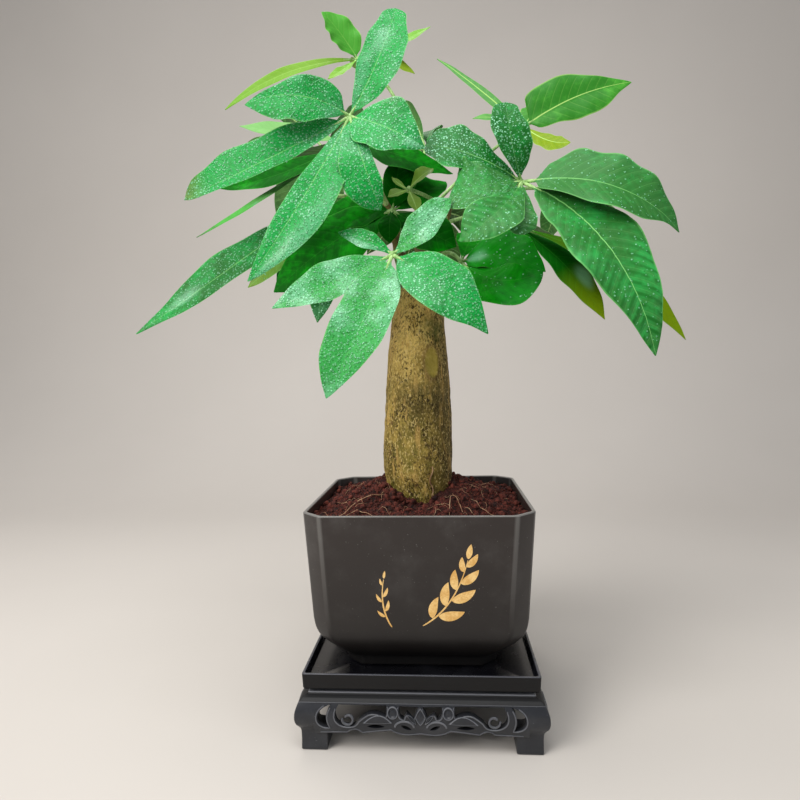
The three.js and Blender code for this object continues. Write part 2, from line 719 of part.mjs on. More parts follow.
        left: [3, 7, 8, 7, 4], right: [4, 10, 12, 10, 5],
      },
      { tip: [-13, -47, 279], mid: [-13, -46, 290], half: 6.5 },
    ],
  },
  leaf_back_left: {
    shoot: "shoot_back", up: 0.8, bend: [-36, 34, 350], hub: [-67, 50, 369],
    face: [-0.2, 0.5, 0.85], colour: "leaf",
    blades: [
      { tip: [-120, 76, 411], half: 13 },
      { tip: [-150, 96, 372], half: 15 },
      { tip: [-114, 94, 328], half: 14 },
      { tip: [-70, 80, 304], half: 13 },
      { tip: [-44, 94, 410], half: 12 },
    ],
  },
  leaf_back_right: {
    shoot: "shoot_right", up: 1, bend: [66, 34, 334], hub: [111, 55, 334],
    face: [0.2, 0.5, 0.85], colour: "leaf",
    blades: [
      { tip: [158, 72, 337], half: 14 },
      { tip: [157, 74, 274], half: 14 },
      { tip: [137, 105, 296], half: 13 },
      { tip: [96, 94, 306], half: 11 },
      { tip: [132, 104, 366], half: 13 },
    ],
  },
  leaf_back_low: {
    shoot: "shoot_back", up: 0.4, bend: [5, 40, 320], hub: [8, 55, 321],
    face: [0, 0.5, 0.85], colour: "leafDark",
    blades: [
      { tip: [-42, 84, 300], half: 12 },
      { tip: [-17, 100, 284], half: 14 },
      { tip: [24, 108, 284], half: 14 },
      { tip: [62, 88, 292], half: 12, arch: 14 },
      { tip: [6, 104, 340], half: 11 },
    ],
  },
  leaf_back_high: {
    shoot: "shoot_back", up: 0.88, bend: [3, 30, 350], hub: [6, 40, 362],
    face: [0, 0.45, 0.9], colour: "leaf",
    blades: [
      { tip: [-11, 60, 400], half: 9 },
      { tip: [14, 66, 381], half: 8 },
      { tip: [-26, 84, 386], half: 11 },
      { tip: [36, 90, 366], half: 12 },
      { tip: [-20, 100, 360], half: 13 },
    ],
  },
};

function makeLeaf(name, leaf) {
  const hub = at(...leaf.hub);
  const shoot = SHOOTS[leaf.shoot];
  const start = shoot.path.getPoint(leaf.up);
  const stalk = new THREE.QuadraticBezierCurve3(start, at(...leaf.bend), hub);
  const knob = new THREE.SphereGeometry(HUB, 6, 4).translate(hub.x, hub.y, hub.z);
  const pieces = [solid(tube(stalk, STALK_NEAR, STALK_FAR, 6, 6)), solid(knob)];
  for (const blade of leaf.blades) pieces.push(leaflet(hub, blade, leaf.face));
  addPart(name, union(pieces).subtract(shootSocket(shoot)), leaf.colour);
}

makeStand();
makeTray();
makePot();
makeSoil();
makeTrunk();
for (const [name, leaf] of Object.entries(LEAVES)) makeLeaf(name, leaf);

export default root;
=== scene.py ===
"""A potted money tree: wet palmate leaves on short shoots, a thick bare trunk, a square dark
pot with a gold sprig, a tray and a low pierced stand. Sizes below are in millimetres, as in
the frame's model, and MM turns them into Blender's metres."""
import json
import math
import random

import bmesh
import bpy
from mathutils import Matrix, Vector, noise

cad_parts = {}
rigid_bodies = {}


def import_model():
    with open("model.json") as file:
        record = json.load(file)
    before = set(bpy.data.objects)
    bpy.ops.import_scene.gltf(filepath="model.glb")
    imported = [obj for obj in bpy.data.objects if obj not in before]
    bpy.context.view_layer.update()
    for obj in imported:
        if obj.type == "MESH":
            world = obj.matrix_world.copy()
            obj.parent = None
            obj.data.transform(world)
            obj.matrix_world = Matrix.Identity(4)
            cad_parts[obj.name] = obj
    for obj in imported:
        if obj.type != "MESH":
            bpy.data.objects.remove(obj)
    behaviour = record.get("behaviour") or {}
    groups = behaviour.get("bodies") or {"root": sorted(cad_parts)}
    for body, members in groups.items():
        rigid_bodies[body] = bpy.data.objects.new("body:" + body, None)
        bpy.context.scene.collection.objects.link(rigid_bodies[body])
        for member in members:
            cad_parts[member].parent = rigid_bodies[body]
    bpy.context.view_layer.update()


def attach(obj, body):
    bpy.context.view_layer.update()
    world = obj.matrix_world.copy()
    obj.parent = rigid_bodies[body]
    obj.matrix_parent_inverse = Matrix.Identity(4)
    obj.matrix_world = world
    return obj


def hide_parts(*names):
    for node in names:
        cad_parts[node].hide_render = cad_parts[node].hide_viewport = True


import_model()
MM = 0.001

# Driving dimensions
POT_RIM_HALF = 65
POT_RIM_Z = 129.4
POT_WAIST_HALF = 61.2
POT_WAIST_Z = 68
POT_FOOT_Z = 37.7
CORNER_CUT = 10.9
WALL = 1.9
TRAY_RIM_Z = 42.2
STAND_TOP_Z = 31
TRUNK_HALF = 22


# Points, faces and objects

class Shape:
    """Points, faces, each face's material slot and each point's values, of one piece."""

    def __init__(self):
        self.points = []
        self.faces = []
        self.slots = []
        self.values = {}

    def add(self, points, faces, slot=0, **values):
        """Adds a part. A value is one number for all its points, or a list with one each."""
        start = len(self.points)
        self.points.extend(points)
        self.faces.extend(tuple(start + i for i in face) for face in faces)
        self.slots.extend([slot] * len(faces))
        for name in {**self.values, **values}:
            column = self.values.setdefault(name, [0.0] * start)
            given = values.get(name, 0.0)
            column.extend(given if isinstance(given, list) else [given] * len(points))

    def build(self, name, materials, sharp=40):
        mesh = bpy.data.meshes.new(name)
        mesh.from_pydata([tuple(c * MM for c in p) for p in self.points], [], self.faces)
        for material in materials:
            mesh.materials.append(material)
        mesh.polygons.foreach_set("material_index", self.slots)
        for key, column in self.values.items():
            mesh.attributes.new(key, "FLOAT", "POINT").data.foreach_set("value", column)
        mesh.shade_smooth()
        mesh.set_sharp_from_angle(angle=math.radians(sharp))
        return add_object(name, mesh)


def add_object(name, data):
    """A new object in the scene, at the origin."""
    made = bpy.data.objects.new(name, data)
    bpy.context.scene.collection.objects.link(made)
    return made


def place(piece, slot, *nodes):
    """The piece rides with the plant and stands for nodes. The slot is not used."""
    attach(piece, "root")
    if nodes:
        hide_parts(*nodes)
    return piece


def evaluated_mesh(piece):
    """A plain mesh of an object as it is shown."""
    graph = bpy.context.evaluated_depsgraph_get()
    return bpy.data.meshes.new_from_object(piece.evaluated_get(graph))


def applied(piece):
    """The piece with its modifiers worked into a plain mesh."""
    mesh = evaluated_mesh(piece)
    piece.modifiers.clear()
    old = piece.data
    piece.data = mesh
    bpy.data.meshes.remove(old)
    mesh.name = piece.name
    return piece


def cut(piece, tool):
    """Cuts a closed tool object out of a piece, and removes the tool."""
    modifier = piece.modifiers.new("cut", "BOOLEAN")
    modifier.operation = "DIFFERENCE"
    modifier.solver = "EXACT"
    modifier.object = tool
    applied(piece)
    bpy.data.objects.remove(tool)


def kept_faces(mesh, name, keep):
    """A copy of a mesh with only the faces that pass a test."""
    shell = bmesh.new()
    shell.from_mesh(mesh)
    others = [face for face in shell.faces if not keep(face)]
    bmesh.ops.delete(shell, geom=others, context="FACES")
    copy = bpy.data.meshes.new(name)
    shell.to_mesh(copy)
    shell.free()
    return copy


def loft_faces(rings, count, closed=True):
    """Faces between rings of equally many points, with both ends closed by default."""
    faces = []
    for r in range(rings - 1):
        for i in range(count):
            a = r * count + i
            b = r * count + (i + 1) % count
            faces.append((a, b, b + count, a + count))
    if closed:
        faces.append(tuple(reversed(range(count))))
        last = (rings - 1) * count
        faces.append(tuple(range(last, last + count)))
    return faces


def loft(shape, rings, **values):
    """Skins closed rings of points. A value's list has one number for each ring or point."""
    count = len(rings[0])
    for name, column in values.items():
        if isinstance(column, list) and len(column) == len(rings):
            values[name] = [value for value in column for _ in range(count)]
    points = [p for ring in rings for p in ring]
    shape.add(points, loft_faces(len(rings), count), **values)


def sweep(shape, path, radii, sides, slot=0, flat=1.0, **values):
    """A tube with round ends along a list of points, with one radius for each."""
    count = len(path)
    rings = []
    aside = Vector((0.31, 0.95, 0.05))
    for k, point in enumerate(path):
        along = (path[min(k + 1, count - 1)] - path[max(k - 1, 0)]).normalized()
        across = aside.cross(along).normalized()
        other = along.cross(across)
        ring = []
        for i in range(sides):
            turn = 2 * math.pi * i / sides
            ring.append(
                point
                + across * (radii[k] * math.cos(turn))
                + other * (radii[k] * flat * math.sin(turn))
            )
        rings.append(ring)
    points = [p for ring in rings for p in ring]
    faces = loft_faces(count, sides, closed=False)
    for end, step in ((0, -1), (count - 1, 1)):
        along = (path[end] - path[end - step]).normalized()
        pole = len(points)
        points.append(path[end] + along * radii[end] * 0.6)
        for i in range(sides):
            a = end * sides + i
            b = end * sides + (i + 1) % sides
            faces.append((pole, b, a) if step < 0 else (pole, a, b))
    spread = {
        key: column + [column[0], column[-1]] if isinstance(column, list) else column
        for key, column in values.items()
    }
    shape.add(points, faces, slot, **spread)


def bezier(points, t):
    """A point on a quadratic curve through three control points."""
    a, b, c = points
    return a * (1 - t) ** 2 + b * (2 * t * (1 - t)) + c * t**2


def bezier_way(points, t):
    """The direction of that curve."""
    a, b, c = points
    return ((b - a) * (1 - t) + (c - b) * t).normalized()


def smooth_levels(levels, steps):
    """Rows of numbers joined by a smooth curve, with `steps` rows for each gap."""
    rows = []
    last = len(levels) - 1
    for k in range(last):
        before, a, b, after = (levels[min(max(k + d, 0), last)] for d in (-1, 0, 1, 2))
        for i in range(steps):
            t = i / steps
            row = []
            for p0, p1, p2, p3 in zip(before, a, b, after):
                bend = 2 * p0 - 5 * p1 + 4 * p2 - p3
                turn = 3 * (p1 - p2) + p3 - p0
                row.append(0.5 * (2 * p1 + (p2 - p0) * t + bend * t * t + turn * t**3))
            rows.append(row)
    rows.append(list(levels[last]))
    return rows


def rounded(corners, radius, steps):
    """The points of a flat polygon whose corners are rounded off over `radius`."""
    ring = []
    for k, corner in enumerate(corners):
        here = Vector(corner)
        before = Vector(corners[k - 1])
        after = Vector(corners[(k + 1) % len(corners)])
        start = here + (before - here).normalized() * radius
        end = here + (after - here).normalized() * radius
        ring += [bezier((start, here, end), i / steps) for i in range(steps + 1)]
    return ring


def level_ring(corners, z, radius, steps=4):
    """A rounded polygon at one height."""
    return [Vector((p.x, p.y, z)) for p in rounded(corners, radius, steps)]


def square_ring(half, z, radius):
    """A square with rounded corners at one height."""
    corners = [(half, -half), (half, half), (-half, half), (-half, -half)]
    return level_ring(corners, z, radius)


def octagon(half, near):
    """The corners of a square whose corners are cut off, `near` its middle lines."""
    return [
        (near, -half), (half, -near), (half, near), (near, half),
        (-near, half), (-half, near), (-half, -near), (-near, -half),
    ]


def circle(x, y, z, radius, sides):
    """A flat ring of points round a middle."""
    return [
        Vector((
            x + radius * math.cos(2 * math.pi * i / sides),
            y + radius * math.sin(2 * math.pi * i / sides), z,
        ))
        for i in range(sides)
    ]


# Shader helpers

class Tree:
    """A node tree with short calls for its nodes and links."""

    def __init__(self, tree):
        self.tree = tree
        self.place = 0

    def add(self, kind, **settings):
        node = self.tree.nodes.new(kind)
        self.place += 1
        node.location = (180 * (self.place % 8), -220 * (self.place // 8))
        for key, value in settings.items():
            setattr(node, key, value)
        return node

    def feed(self, socket, value):
        if isinstance(value, bpy.types.NodeSocket):
            self.tree.links.new(value, socket)
        elif value is not None:
            socket.default_value = value

    def fill(self, sockets, **values):
        """Feeds several sockets by name, with an underscore for each space."""
        for name, value in values.items():
            self.feed(sockets[name.replace("_", " ")], value)

    def math(self, operation, *values, clamp=False):
        node = self.add("ShaderNodeMath", operation=operation, use_clamp=clamp)
        for socket, value in zip(node.inputs, values):
            self.feed(socket, value)
        return node.outputs[0]

    def plus(self, first, second):
        return self.math("ADD", first, second)

    def less(self, first, second, clamp=False):
        return self.math("SUBTRACT", first, second, clamp=clamp)

    def times(self, first, second, clamp=False):
        return self.math("MULTIPLY", first, second, clamp=clamp)

    def over(self, first, second):
        return self.math("DIVIDE", first, second)

    def ramp(self, value, slope, start):
        """A straight line: the value times `slope`, plus `start`."""
        return self.math("MULTIPLY_ADD", value, slope, start)

    def smooth(self, value, low, high, start=0.0, end=1.0):
        """A soft step: `start` below low and `end` above high."""
        node = self.add("ShaderNodeMapRange", interpolation_type="SMOOTHSTEP")
        for socket, given in zip(node.inputs, (value, low, high, start, end)):
            self.feed(socket, given)
        return node.outputs[0]

    def mix(self, share, first, second):
        node = self.add("ShaderNodeMix", data_type="RGBA")
        for key, value in (("Factor", share), (6, first), (7, second)):
            self.feed(node.inputs[key], value)
        return node.outputs[2]

    def layers(self, colour, *layers):
        """Colours laid over the first one in turn, each given with its mask."""
        for mask, tint in layers:
            colour = self.mix(mask, colour, tint)
        return colour

    def attribute(self, name):
        return self.add("ShaderNodeAttribute", attribute_name=name).outputs["Fac"]

    def coordinates(self):
        return self.add("ShaderNodeTexCoord").outputs["Object"]

    def noise(self, where, scale, detail=3.0, roughness=0.55):
        node = self.add("ShaderNodeTexNoise")
        self.fill(node.inputs, Vector=where, Scale=scale, Detail=detail, Roughness=roughness)
        return node.outputs["Fac"]

    def patches(self, where, scale, detail, low, high, roughness=0.55):
        """Noise turned into patches: 0 below low and 1 above high."""
        return self.smooth(self.noise(where, scale, detail, roughness), low, high)

    def stretched(self, where, scale):
        node = self.add("ShaderNodeMapping")
        self.fill(node.inputs, Vector=where, Scale=scale)
        return node.outputs["Vector"]

    def bump(self, height, strength, distance, normal=None):
        node = self.add("ShaderNodeBump")
        self.fill(
            node.inputs, Height=height, Strength=strength, Distance=distance * MM, Normal=normal,
        )
        return node.outputs["Normal"]

    def group(self, group, **inputs):
        node = self.add("ShaderNodeGroup", node_tree=group)
        self.fill(node.inputs, **inputs)
        return node.outputs


def srgb(red, green, blue):
    """A colour given as it looks on screen, 0 to 255, as Blender's linear values."""
    shares = [c / 255 for c in (red, green, blue)]
    return tuple(((s + 0.055) / 1.055) ** 2.4 if s > 0.04 else s / 12.92 for s in shares) + (1.0,)


def new_group(name, inputs, outputs, kind_of_tree="ShaderNodeTree"):
    """An empty node group with named sockets. An input may have its usual value."""
    tree = bpy.data.node_groups.new(name, kind_of_tree)
    for label, kind, *usual in inputs:
        socket = tree.interface.new_socket(label, in_out="INPUT", socket_type="NodeSocket" + kind)
        if usual:
            socket.default_value = usual[0]
    for label, kind in outputs:
        tree.interface.new_socket(label, in_out="OUTPUT", socket_type="NodeSocket" + kind)
    nodes = Tree(tree)
    return nodes, nodes.add("NodeGroupInput").outputs, nodes.add("NodeGroupOutput").inputs


def new_material(name, **settings):
    """A material with one Principled BSDF, whose plain sockets are set by name."""
    material = bpy.data.materials.new(name)
    material.use_nodes = True
    nodes = Tree(material.node_tree)
    shader = material.node_tree.nodes["Principled BSDF"]
    nodes.fill(shader.inputs, **settings)
    return material, nodes, shader.inputs


# Effects that several materials share

def make_mottle():
    """Two tints laid over each other in soft blotches and fine flecks."""
    nodes, given, out = new_group(
        "mottle",
        [("Where", "Vector"), ("First", "Color"), ("Second", "Color"),
         ("Scale", "Float", 60.0), ("Shift", "Float", 0.0)],
        [("Colour", "Color"), ("Value", "Float")],
    )
    broad = nodes.noise(given["Where"], given["Scale"], 4.0, 0.6)
    fine = nodes.noise(given["Where"], nodes.times(given["Scale"], 7.0), 2.0)
    both = nodes.ramp(fine, 0.35, nodes.times(broad, 0.65))
    value = nodes.smooth(nodes.plus(both, given["Shift"]), 0.36, 0.64)
    nodes.fill(out, Colour=nodes.mix(value, given["First"], given["Second"]), Value=value)
    return nodes.tree


def make_beads():
    """Small round water beads: their domes, the area they cover and a painted highlight on each."""
    nodes, given, out = new_group(
        "water_beads",
        [("Where", "Vector"), ("Scale", "Float", 700.0), ("Share", "Float", 1.0)],
        [("Height", "Float"), ("Cover", "Float"), ("Spark", "Float")],
    )
    scaled = nodes.add("ShaderNodeVectorMath", operation="SCALE")
    nodes.feed(scaled.inputs[0], given["Where"])
    nodes.feed(scaled.inputs["Scale"], given["Scale"])
    cells = nodes.add("ShaderNodeTexVoronoi")
    cells.inputs["Scale"].default_value = 1.0
    nodes.feed(cells.inputs["Vector"], scaled.outputs[0])
    luck = nodes.add("ShaderNodeSeparateColor")
    nodes.feed(luck.inputs[0], cells.outputs["Color"])
    kept = nodes.math("GREATER_THAN", nodes.plus(luck.outputs[1], given["Share"]), 1.0)
    radius = nodes.ramp(luck.outputs[0], 0.26, 0.3)
    share = nodes.over(cells.outputs["Distance"], radius)
    dome = nodes.less(1.0, nodes.times(share, share), clamp=True)
    height = nodes.times(nodes.math("SQRT", dome), radius)
    # The painted highlight: a bright spot set off each bead's middle, always towards the same side.
    lifted = nodes.add("ShaderNodeVectorMath", operation="SUBTRACT")
    nodes.feed(lifted.inputs[0], scaled.outputs[0])
    nodes.feed(lifted.inputs[1], cells.outputs["Position"])
    moved = nodes.add("ShaderNodeVectorMath", operation="DISTANCE")
    nodes.feed(moved.inputs[0], lifted.outputs[0])
    moved.inputs[1].default_value = (-0.06, -0.08, 0.12)
    spot = nodes.smooth(nodes.over(moved.outputs["Value"], radius), 0.4, 1.0, 1.0, 0.0)
    cover = nodes.times(nodes.smooth(dome, 0.02, 0.3), kept)
    nodes.fill(
        out, Height=nodes.times(height, kept), Cover=cover, Spark=nodes.times(spot, kept),
    )
    return nodes.tree


def make_veins():
    """The midrib, side veins and margin of a leaflet, read from its own measures."""
    nodes, given, out = new_group(
        "leaf_veins",
        [("Rib", "Float", 1.0), ("Vein", "Float", 0.0), ("Edge", "Float", 0.0),
         ("Along", "Float", 0.0)],
        [("Midrib", "Float"), ("Side", "Float"), ("Margin", "Float"), ("Height", "Float")],
    )
    taper = nodes.less(1.15, given["Along"])
    midrib = nodes.smooth(nodes.over(given["Rib"], taper), 0.2, 0.6, 1.0, 0.0)
    turn = nodes.math("FRACT", given["Vein"])
    near = nodes.math("MINIMUM", turn, nodes.less(1.0, turn))
    fade = nodes.smooth(given["Edge"], 0.7, 1.0, 1.0, 0.0)
    line = nodes.smooth(near, 0.01, 0.07, 1.0, 0.0)
    side = nodes.times(line, fade)
    hollow = nodes.times(nodes.smooth(near, 0.0, 0.35, 1.0, 0.0), fade)
    margin = nodes.smooth(given["Edge"], 0.93, 0.99)
    sunk = nodes.math("MAXIMUM", midrib, nodes.times(hollow, 0.6))
    nodes.fill(out, Midrib=midrib, Side=side, Margin=margin, Height=nodes.less(1.0, sunk))
    return nodes.tree


def make_moulded():
    """The skin of moulded plastic: faint flow streaks, dust and fine scratches."""
    nodes, given, out = new_group(
        "moulded_skin",
        [("Where", "Vector"), ("Colour", "Color"), ("Dust", "Color"),
         ("Roughness", "Float", 0.4)],
        [("Colour", "Color"), ("Roughness", "Float"), ("Height", "Float")],
    )
    where = given["Where"]
    cloud = nodes.noise(where, 45.0, 5.0, 0.6)
    grain = nodes.noise(where, 2600.0, 2.0)
    scratch = nodes.noise(nodes.stretched(where, (60.0, 60.0, 1400.0)), 1.0, 2.0)
    dust = nodes.times(nodes.smooth(cloud, 0.45, 0.8), 0.1)
    speck = nodes.patches(where, 900.0, 1.0, 0.72, 0.8)
    dusty = nodes.math("MAXIMUM", dust, nodes.times(speck, 0.35))
    rough = nodes.ramp(cloud, 0.16, nodes.less(given["Roughness"], 0.08))
    nodes.fill(
        out, Colour=nodes.mix(dusty, given["Colour"], given["Dust"]),
        Roughness=nodes.ramp(scratch, 0.06, rough), Height=nodes.ramp(scratch, 0.5, grain),
    )
    return nodes.tree


MOTTLE = make_mottle()
BEADS = make_beads()
VEINS = make_veins()
MOULDED = make_moulded()


# Materials

def mottled(nodes, where, first, second, scale, shift=0.0):
    """The shared mottle in two tints of a material's own."""
    return nodes.group(
        MOTTLE, Where=where, First=first, Second=second, Scale=scale, Shift=shift,
    )


def veined(nodes):
    """The shared veins, drawn from a leaflet's own measures."""
    rib, vein, edge, along = (nodes.attribute(key) for key in ("rib", "vein", "edge", "along"))
    return nodes.group(VEINS, Rib=rib, Vein=vein, Edge=edge, Along=along)


def leaf_top(name, deep, light, rib, roughness, relief, shine=0.16):
    """The waxy upper face of a leaflet, with veins and beads of water, a painted wet sheen and
    glare, painted shade in its creases and round its beads, and a painted highlight on each bead.
    """
    material, nodes, shader = new_material(name, Specular_IOR_Level=shine, Coat_Roughness=0.14)
    where = nodes.coordinates()
    tone, wet, film, age = (nodes.attribute(key) for key in ("tone", "wet", "film", "age"))
    body = mottled(nodes, where, deep, light, 38.0, nodes.times(nodes.less(tone, 0.5), 0.4))
    # Painted shade in the creases between the side veins, where the crease shade value is set.
    crease = nodes.math("PINGPONG", nodes.times(nodes.attribute("vein"), 2.0), 1.0)
    crease = nodes.times(nodes.smooth(crease, 0.4, 0.9), nodes.attribute("wrinkle"))
    crease = nodes.times(crease, nodes.patches(where, 160.0, 3.0, 0.32, 0.52))
    veins = veined(nodes)
    old = nodes.times(age, nodes.smooth(nodes.attribute("along"), 0.82, 1.0), clamp=True)
    beads = nodes.group(BEADS, Where=where, Scale=760.0, Share=wet)
    patch = nodes.patches(where, 34.0, 3.0, 0.47, 0.64)
    # Painted sheen: wet patches and the painted glare pale the colour towards whitish green; the
    # wet film also lowers roughness and adds coat.
    film = nodes.ramp(patch, film, nodes.attribute("glare"))
    speck = nodes.times(nodes.patches(where, 880.0, 2.0, 0.52, 0.66, 0.7), wet)
    painted_highlight = nodes.times(beads["Spark"], nodes.ramp(patch, 0.4, 0.3))
    colour = nodes.layers(
        body["Colour"],
        (nodes.attribute("gold"), srgb(128, 152, 10)),
        # Pale tints a blade whitish green; on the front leaf it is partly a painted sheen.
        (nodes.attribute("pale"), srgb(138, 196, 122)),
        # painted crease shade
        (crease, deep),
        (nodes.times(veins["Side"], 0.1), rib),
        (nodes.times(veins["Midrib"], nodes.attribute("ribbed")), rib),
        (nodes.times(veins["Margin"], 0.42), rib),
        (old, srgb(120, 92, 36)),
        # painted wet sheen and glare
        (nodes.times(film, 0.35), srgb(140, 206, 170)),
        # Painted shade: dark specks where wet and a darker ground under each bead stand in for the
        # shaded rims of the drops.
        (nodes.times(speck, 0.68), deep),
        (nodes.times(beads["Cover"], 0.4), deep),
        # painted highlight on each bead
        (painted_highlight, srgb(166, 240, 196)),
    )
    grain = nodes.noise(where, 1500.0, 2.0)
    rough = nodes.ramp(grain, 0.12, roughness - 0.06)
    rough = nodes.less(rough, nodes.times(film, 0.1))
    dry = nodes.less(1.0, nodes.times(beads["Cover"], 0.4))
    bumps = nodes.bump(veins["Height"], relief, 0.5)
    bumps = nodes.bump(grain, 0.15, 0.15, bumps)
    nodes.fill(
        shader, Base_Color=colour, Roughness=nodes.times(rough, dry),
        Coat_Weight=nodes.times(film, 0.3, clamp=True),
        Normal=nodes.bump(beads["Height"], 0.55, 0.65, bumps),
    )
    return material


def leaf_under(name, deep, light, rib):
    """The paler, duller lower face of a leaflet, with raised veins."""
    material, nodes, shader = new_material(name, Specular_IOR_Level=0.4)
    body = mottled(nodes, nodes.coordinates(), deep, light, 70.0)
    veins = veined(nodes)
    towards_tip = nodes.smooth(nodes.attribute("along"), 0.45, 1.0)
    old = nodes.times(nodes.attribute("age"), towards_tip, clamp=True)
    colour = nodes.layers(
        body["Colour"], (nodes.times(veins["Side"], 0.45), rib),
        (nodes.times(veins["Margin"], 0.5), rib), (old, srgb(165, 150, 70)),
    )
    raised = nodes.less(1.0, veins["Height"])
    nodes.fill(
        shader, Base_Color=colour,
        Roughness=nodes.ramp(body["Value"], 0.1, 0.5), Normal=nodes.bump(raised, 0.5, 0.6),
    )
    return material


def stem_material(name, deep, light, roughness=0.45):
    """A leaf stalk, midrib or young shoot, with soft blotches and small pores."""
    material, nodes, shader = new_material(name, Specular_IOR_Level=0.5)
    where = nodes.coordinates()
    body = mottled(nodes, where, deep, light, 160.0)
    pore = nodes.times(nodes.patches(where, 1100.0, 1.0, 0.66, 0.74), 0.5)
    nodes.fill(
        shader, Base_Color=nodes.mix(pore, body["Colour"], deep),
        Roughness=nodes.ramp(body["Value"], 0.15, roughness),
        Normal=nodes.bump(nodes.noise(where, 700.0, 3.0), 0.3, 0.3),
    )
    return material


def bark_material():
    """Golden-tan bark, stippled dark and pale all over, olive and mossy lower down, with painted
    shade on its right side and painted leaf shadow among its stains.
    """
    material, nodes, shader = new_material("bark", Specular_IOR_Level=0.3)
    where = nodes.coordinates()
    height = nodes.add("ShaderNodeSeparateXYZ")
    nodes.feed(height.inputs[0], where)
    high = nodes.smooth(height.outputs["Z"], 0.18, 0.235)
    low = nodes.smooth(height.outputs["Z"], 0.135, 0.2, 1.0, 0.0)
    long = nodes.stretched(where, (1.0, 1.0, 0.62))
    olive = mottled(nodes, long, srgb(96, 82, 24), srgb(172, 146, 70), 120.0)
    tan = mottled(nodes, long, srgb(154, 122, 52), srgb(222, 191, 108), 140.0, 0.03)
    moss = nodes.patches(where, 60.0, 4.0, 0.48, 0.62)
    # Painted shade: the right side of the trunk is darkened, its edge broken a little by the moss.
    right_side_shade = nodes.plus(height.outputs["X"], nodes.times(moss, 0.006))
    stain = nodes.attribute("stain")
    fleck = nodes.patches(long, 860.0, 2.0, 0.5, 0.57, 0.65)
    broad = nodes.ramp(nodes.patches(where, 75.0, 3.0, 0.4, 0.62), 0.6, nodes.times(stain, 0.3))
    pale = nodes.patches(long, 900.0, 2.0, 0.56, 0.64)
    streak = nodes.patches(nodes.stretched(where, (1.0, 1.0, 0.16)), 300.0, 3.0, 0.54, 0.66)
    pit = nodes.patches(where, 250.0, 3.0, 0.58, 0.64, 0.7)
    cloud = nodes.patches(long, 300.0, 4.0, 0.3, 0.55)
    scar = nodes.attribute("scar")
    worn = nodes.mix(nodes.noise(where, 200.0, 4.0), srgb(112, 98, 24), srgb(190, 170, 74))
    colour = nodes.layers(
        olive["Colour"],
        (high, tan["Colour"]),
        (nodes.times(moss, nodes.ramp(low, 0.35, 0.2)), srgb(92, 92, 24)),
        (nodes.times(nodes.smooth(right_side_shade, 0.004, 0.022), 0.74), srgb(60, 46, 8)),
        (nodes.times(fleck, nodes.plus(broad, 0.26), clamp=True), srgb(46, 32, 8)),
        (nodes.times(pale, 0.6), srgb(222, 196, 128)),
        (nodes.times(streak, 0.42), srgb(214, 172, 96)),
        (nodes.times(pit, nodes.ramp(low, 0.65, 0.15)), srgb(50, 26, 10)),
        # Stains and painted shade: the highest patch is painted leaf shadow, tinted green higher up
        # as a painted reflection of the leaves.
        (nodes.times(stain, cloud), nodes.mix(high, srgb(60, 50, 14), srgb(66, 74, 12))),
        (nodes.times(scar, 0.85), worn),
        (nodes.attribute("callus"), srgb(96, 70, 30)),
    )
    smoother = nodes.less(1.0, scar)
    relief = nodes.bump(nodes.times(nodes.noise(long, 420.0, 5.0, 0.65), smoother), 0.45, 0.8)
    stipple = nodes.less(1.0, nodes.times(fleck, smoother))
    nodes.fill(
        shader, Base_Color=colour, Roughness=nodes.ramp(fleck, 0.15, 0.66),
        Normal=nodes.bump(stipple, 0.3, 0.35, relief),
    )
    return material


def soil_material(name, first, second, scale):
    """Dull, rough peat or coir."""
    material, nodes, shader = new_material(name, Specular_IOR_Level=0.3)
    where = nodes.coordinates()
    body = mottled(nodes, where, first, second, scale)
    nodes.fill(
        shader, Base_Color=body["Colour"], Roughness=nodes.ramp(body["Value"], 0.2, 0.72),
        Normal=nodes.bump(nodes.noise(where, 900.0, 4.0, 0.7), 0.7, 0.8),
    )
    return material


def plastic_material(name, colour, dust, roughness, coat, bump=0.12, shine=0.4):
    """Moulded plastic, paler along its edges with painted highlights and some wear, and darkened
    and dulled by painted shade where its deep value is set.
    """
    material, nodes, shader = new_material(name, Specular_IOR_Level=shine, Coat_Roughness=0.15)
    skin = nodes.group(
        MOULDED, Where=nodes.coordinates(), Colour=colour, Dust=dust, Roughness=roughness,
    )
    # Painted highlights, partly wear: the edge value pales the colour towards the dust tint.
    worn = nodes.times(nodes.attribute("edge"), 0.6)
    # Painted shade: the deep value darkens the colour towards near black and dulls it.
    deep = nodes.attribute("deep")
    nodes.fill(
        shader,
        Base_Color=nodes.layers(skin["Colour"], (deep, srgb(6, 5, 5)), (worn, dust)),
        Coat_Weight=nodes.times(nodes.less(1.0, deep, clamp=True), coat),
        Roughness=nodes.ramp(deep, 0.25, skin["Roughness"]),
        Normal=nodes.bump(skin["Height"], bump, 0.08),
    )
    return material


def gold_material():
    """Printed gold: warm, a little worn, with a soft metal sheen."""
    material, nodes, shader = new_material("gold_print", Metallic=0.4)
    where = nodes.coordinates()
    body = mottled(nodes, where, srgb(222, 172, 94), srgb(250, 212, 142), 130.0)
    nodes.fill(
        shader, Base_Color=body["Colour"], Roughness=nodes.ramp(body["Value"], 0.12, 0.36),
        Normal=nodes.bump(nodes.noise(where, 1500.0, 2.0), 0.15, 0.1),
    )
    return material


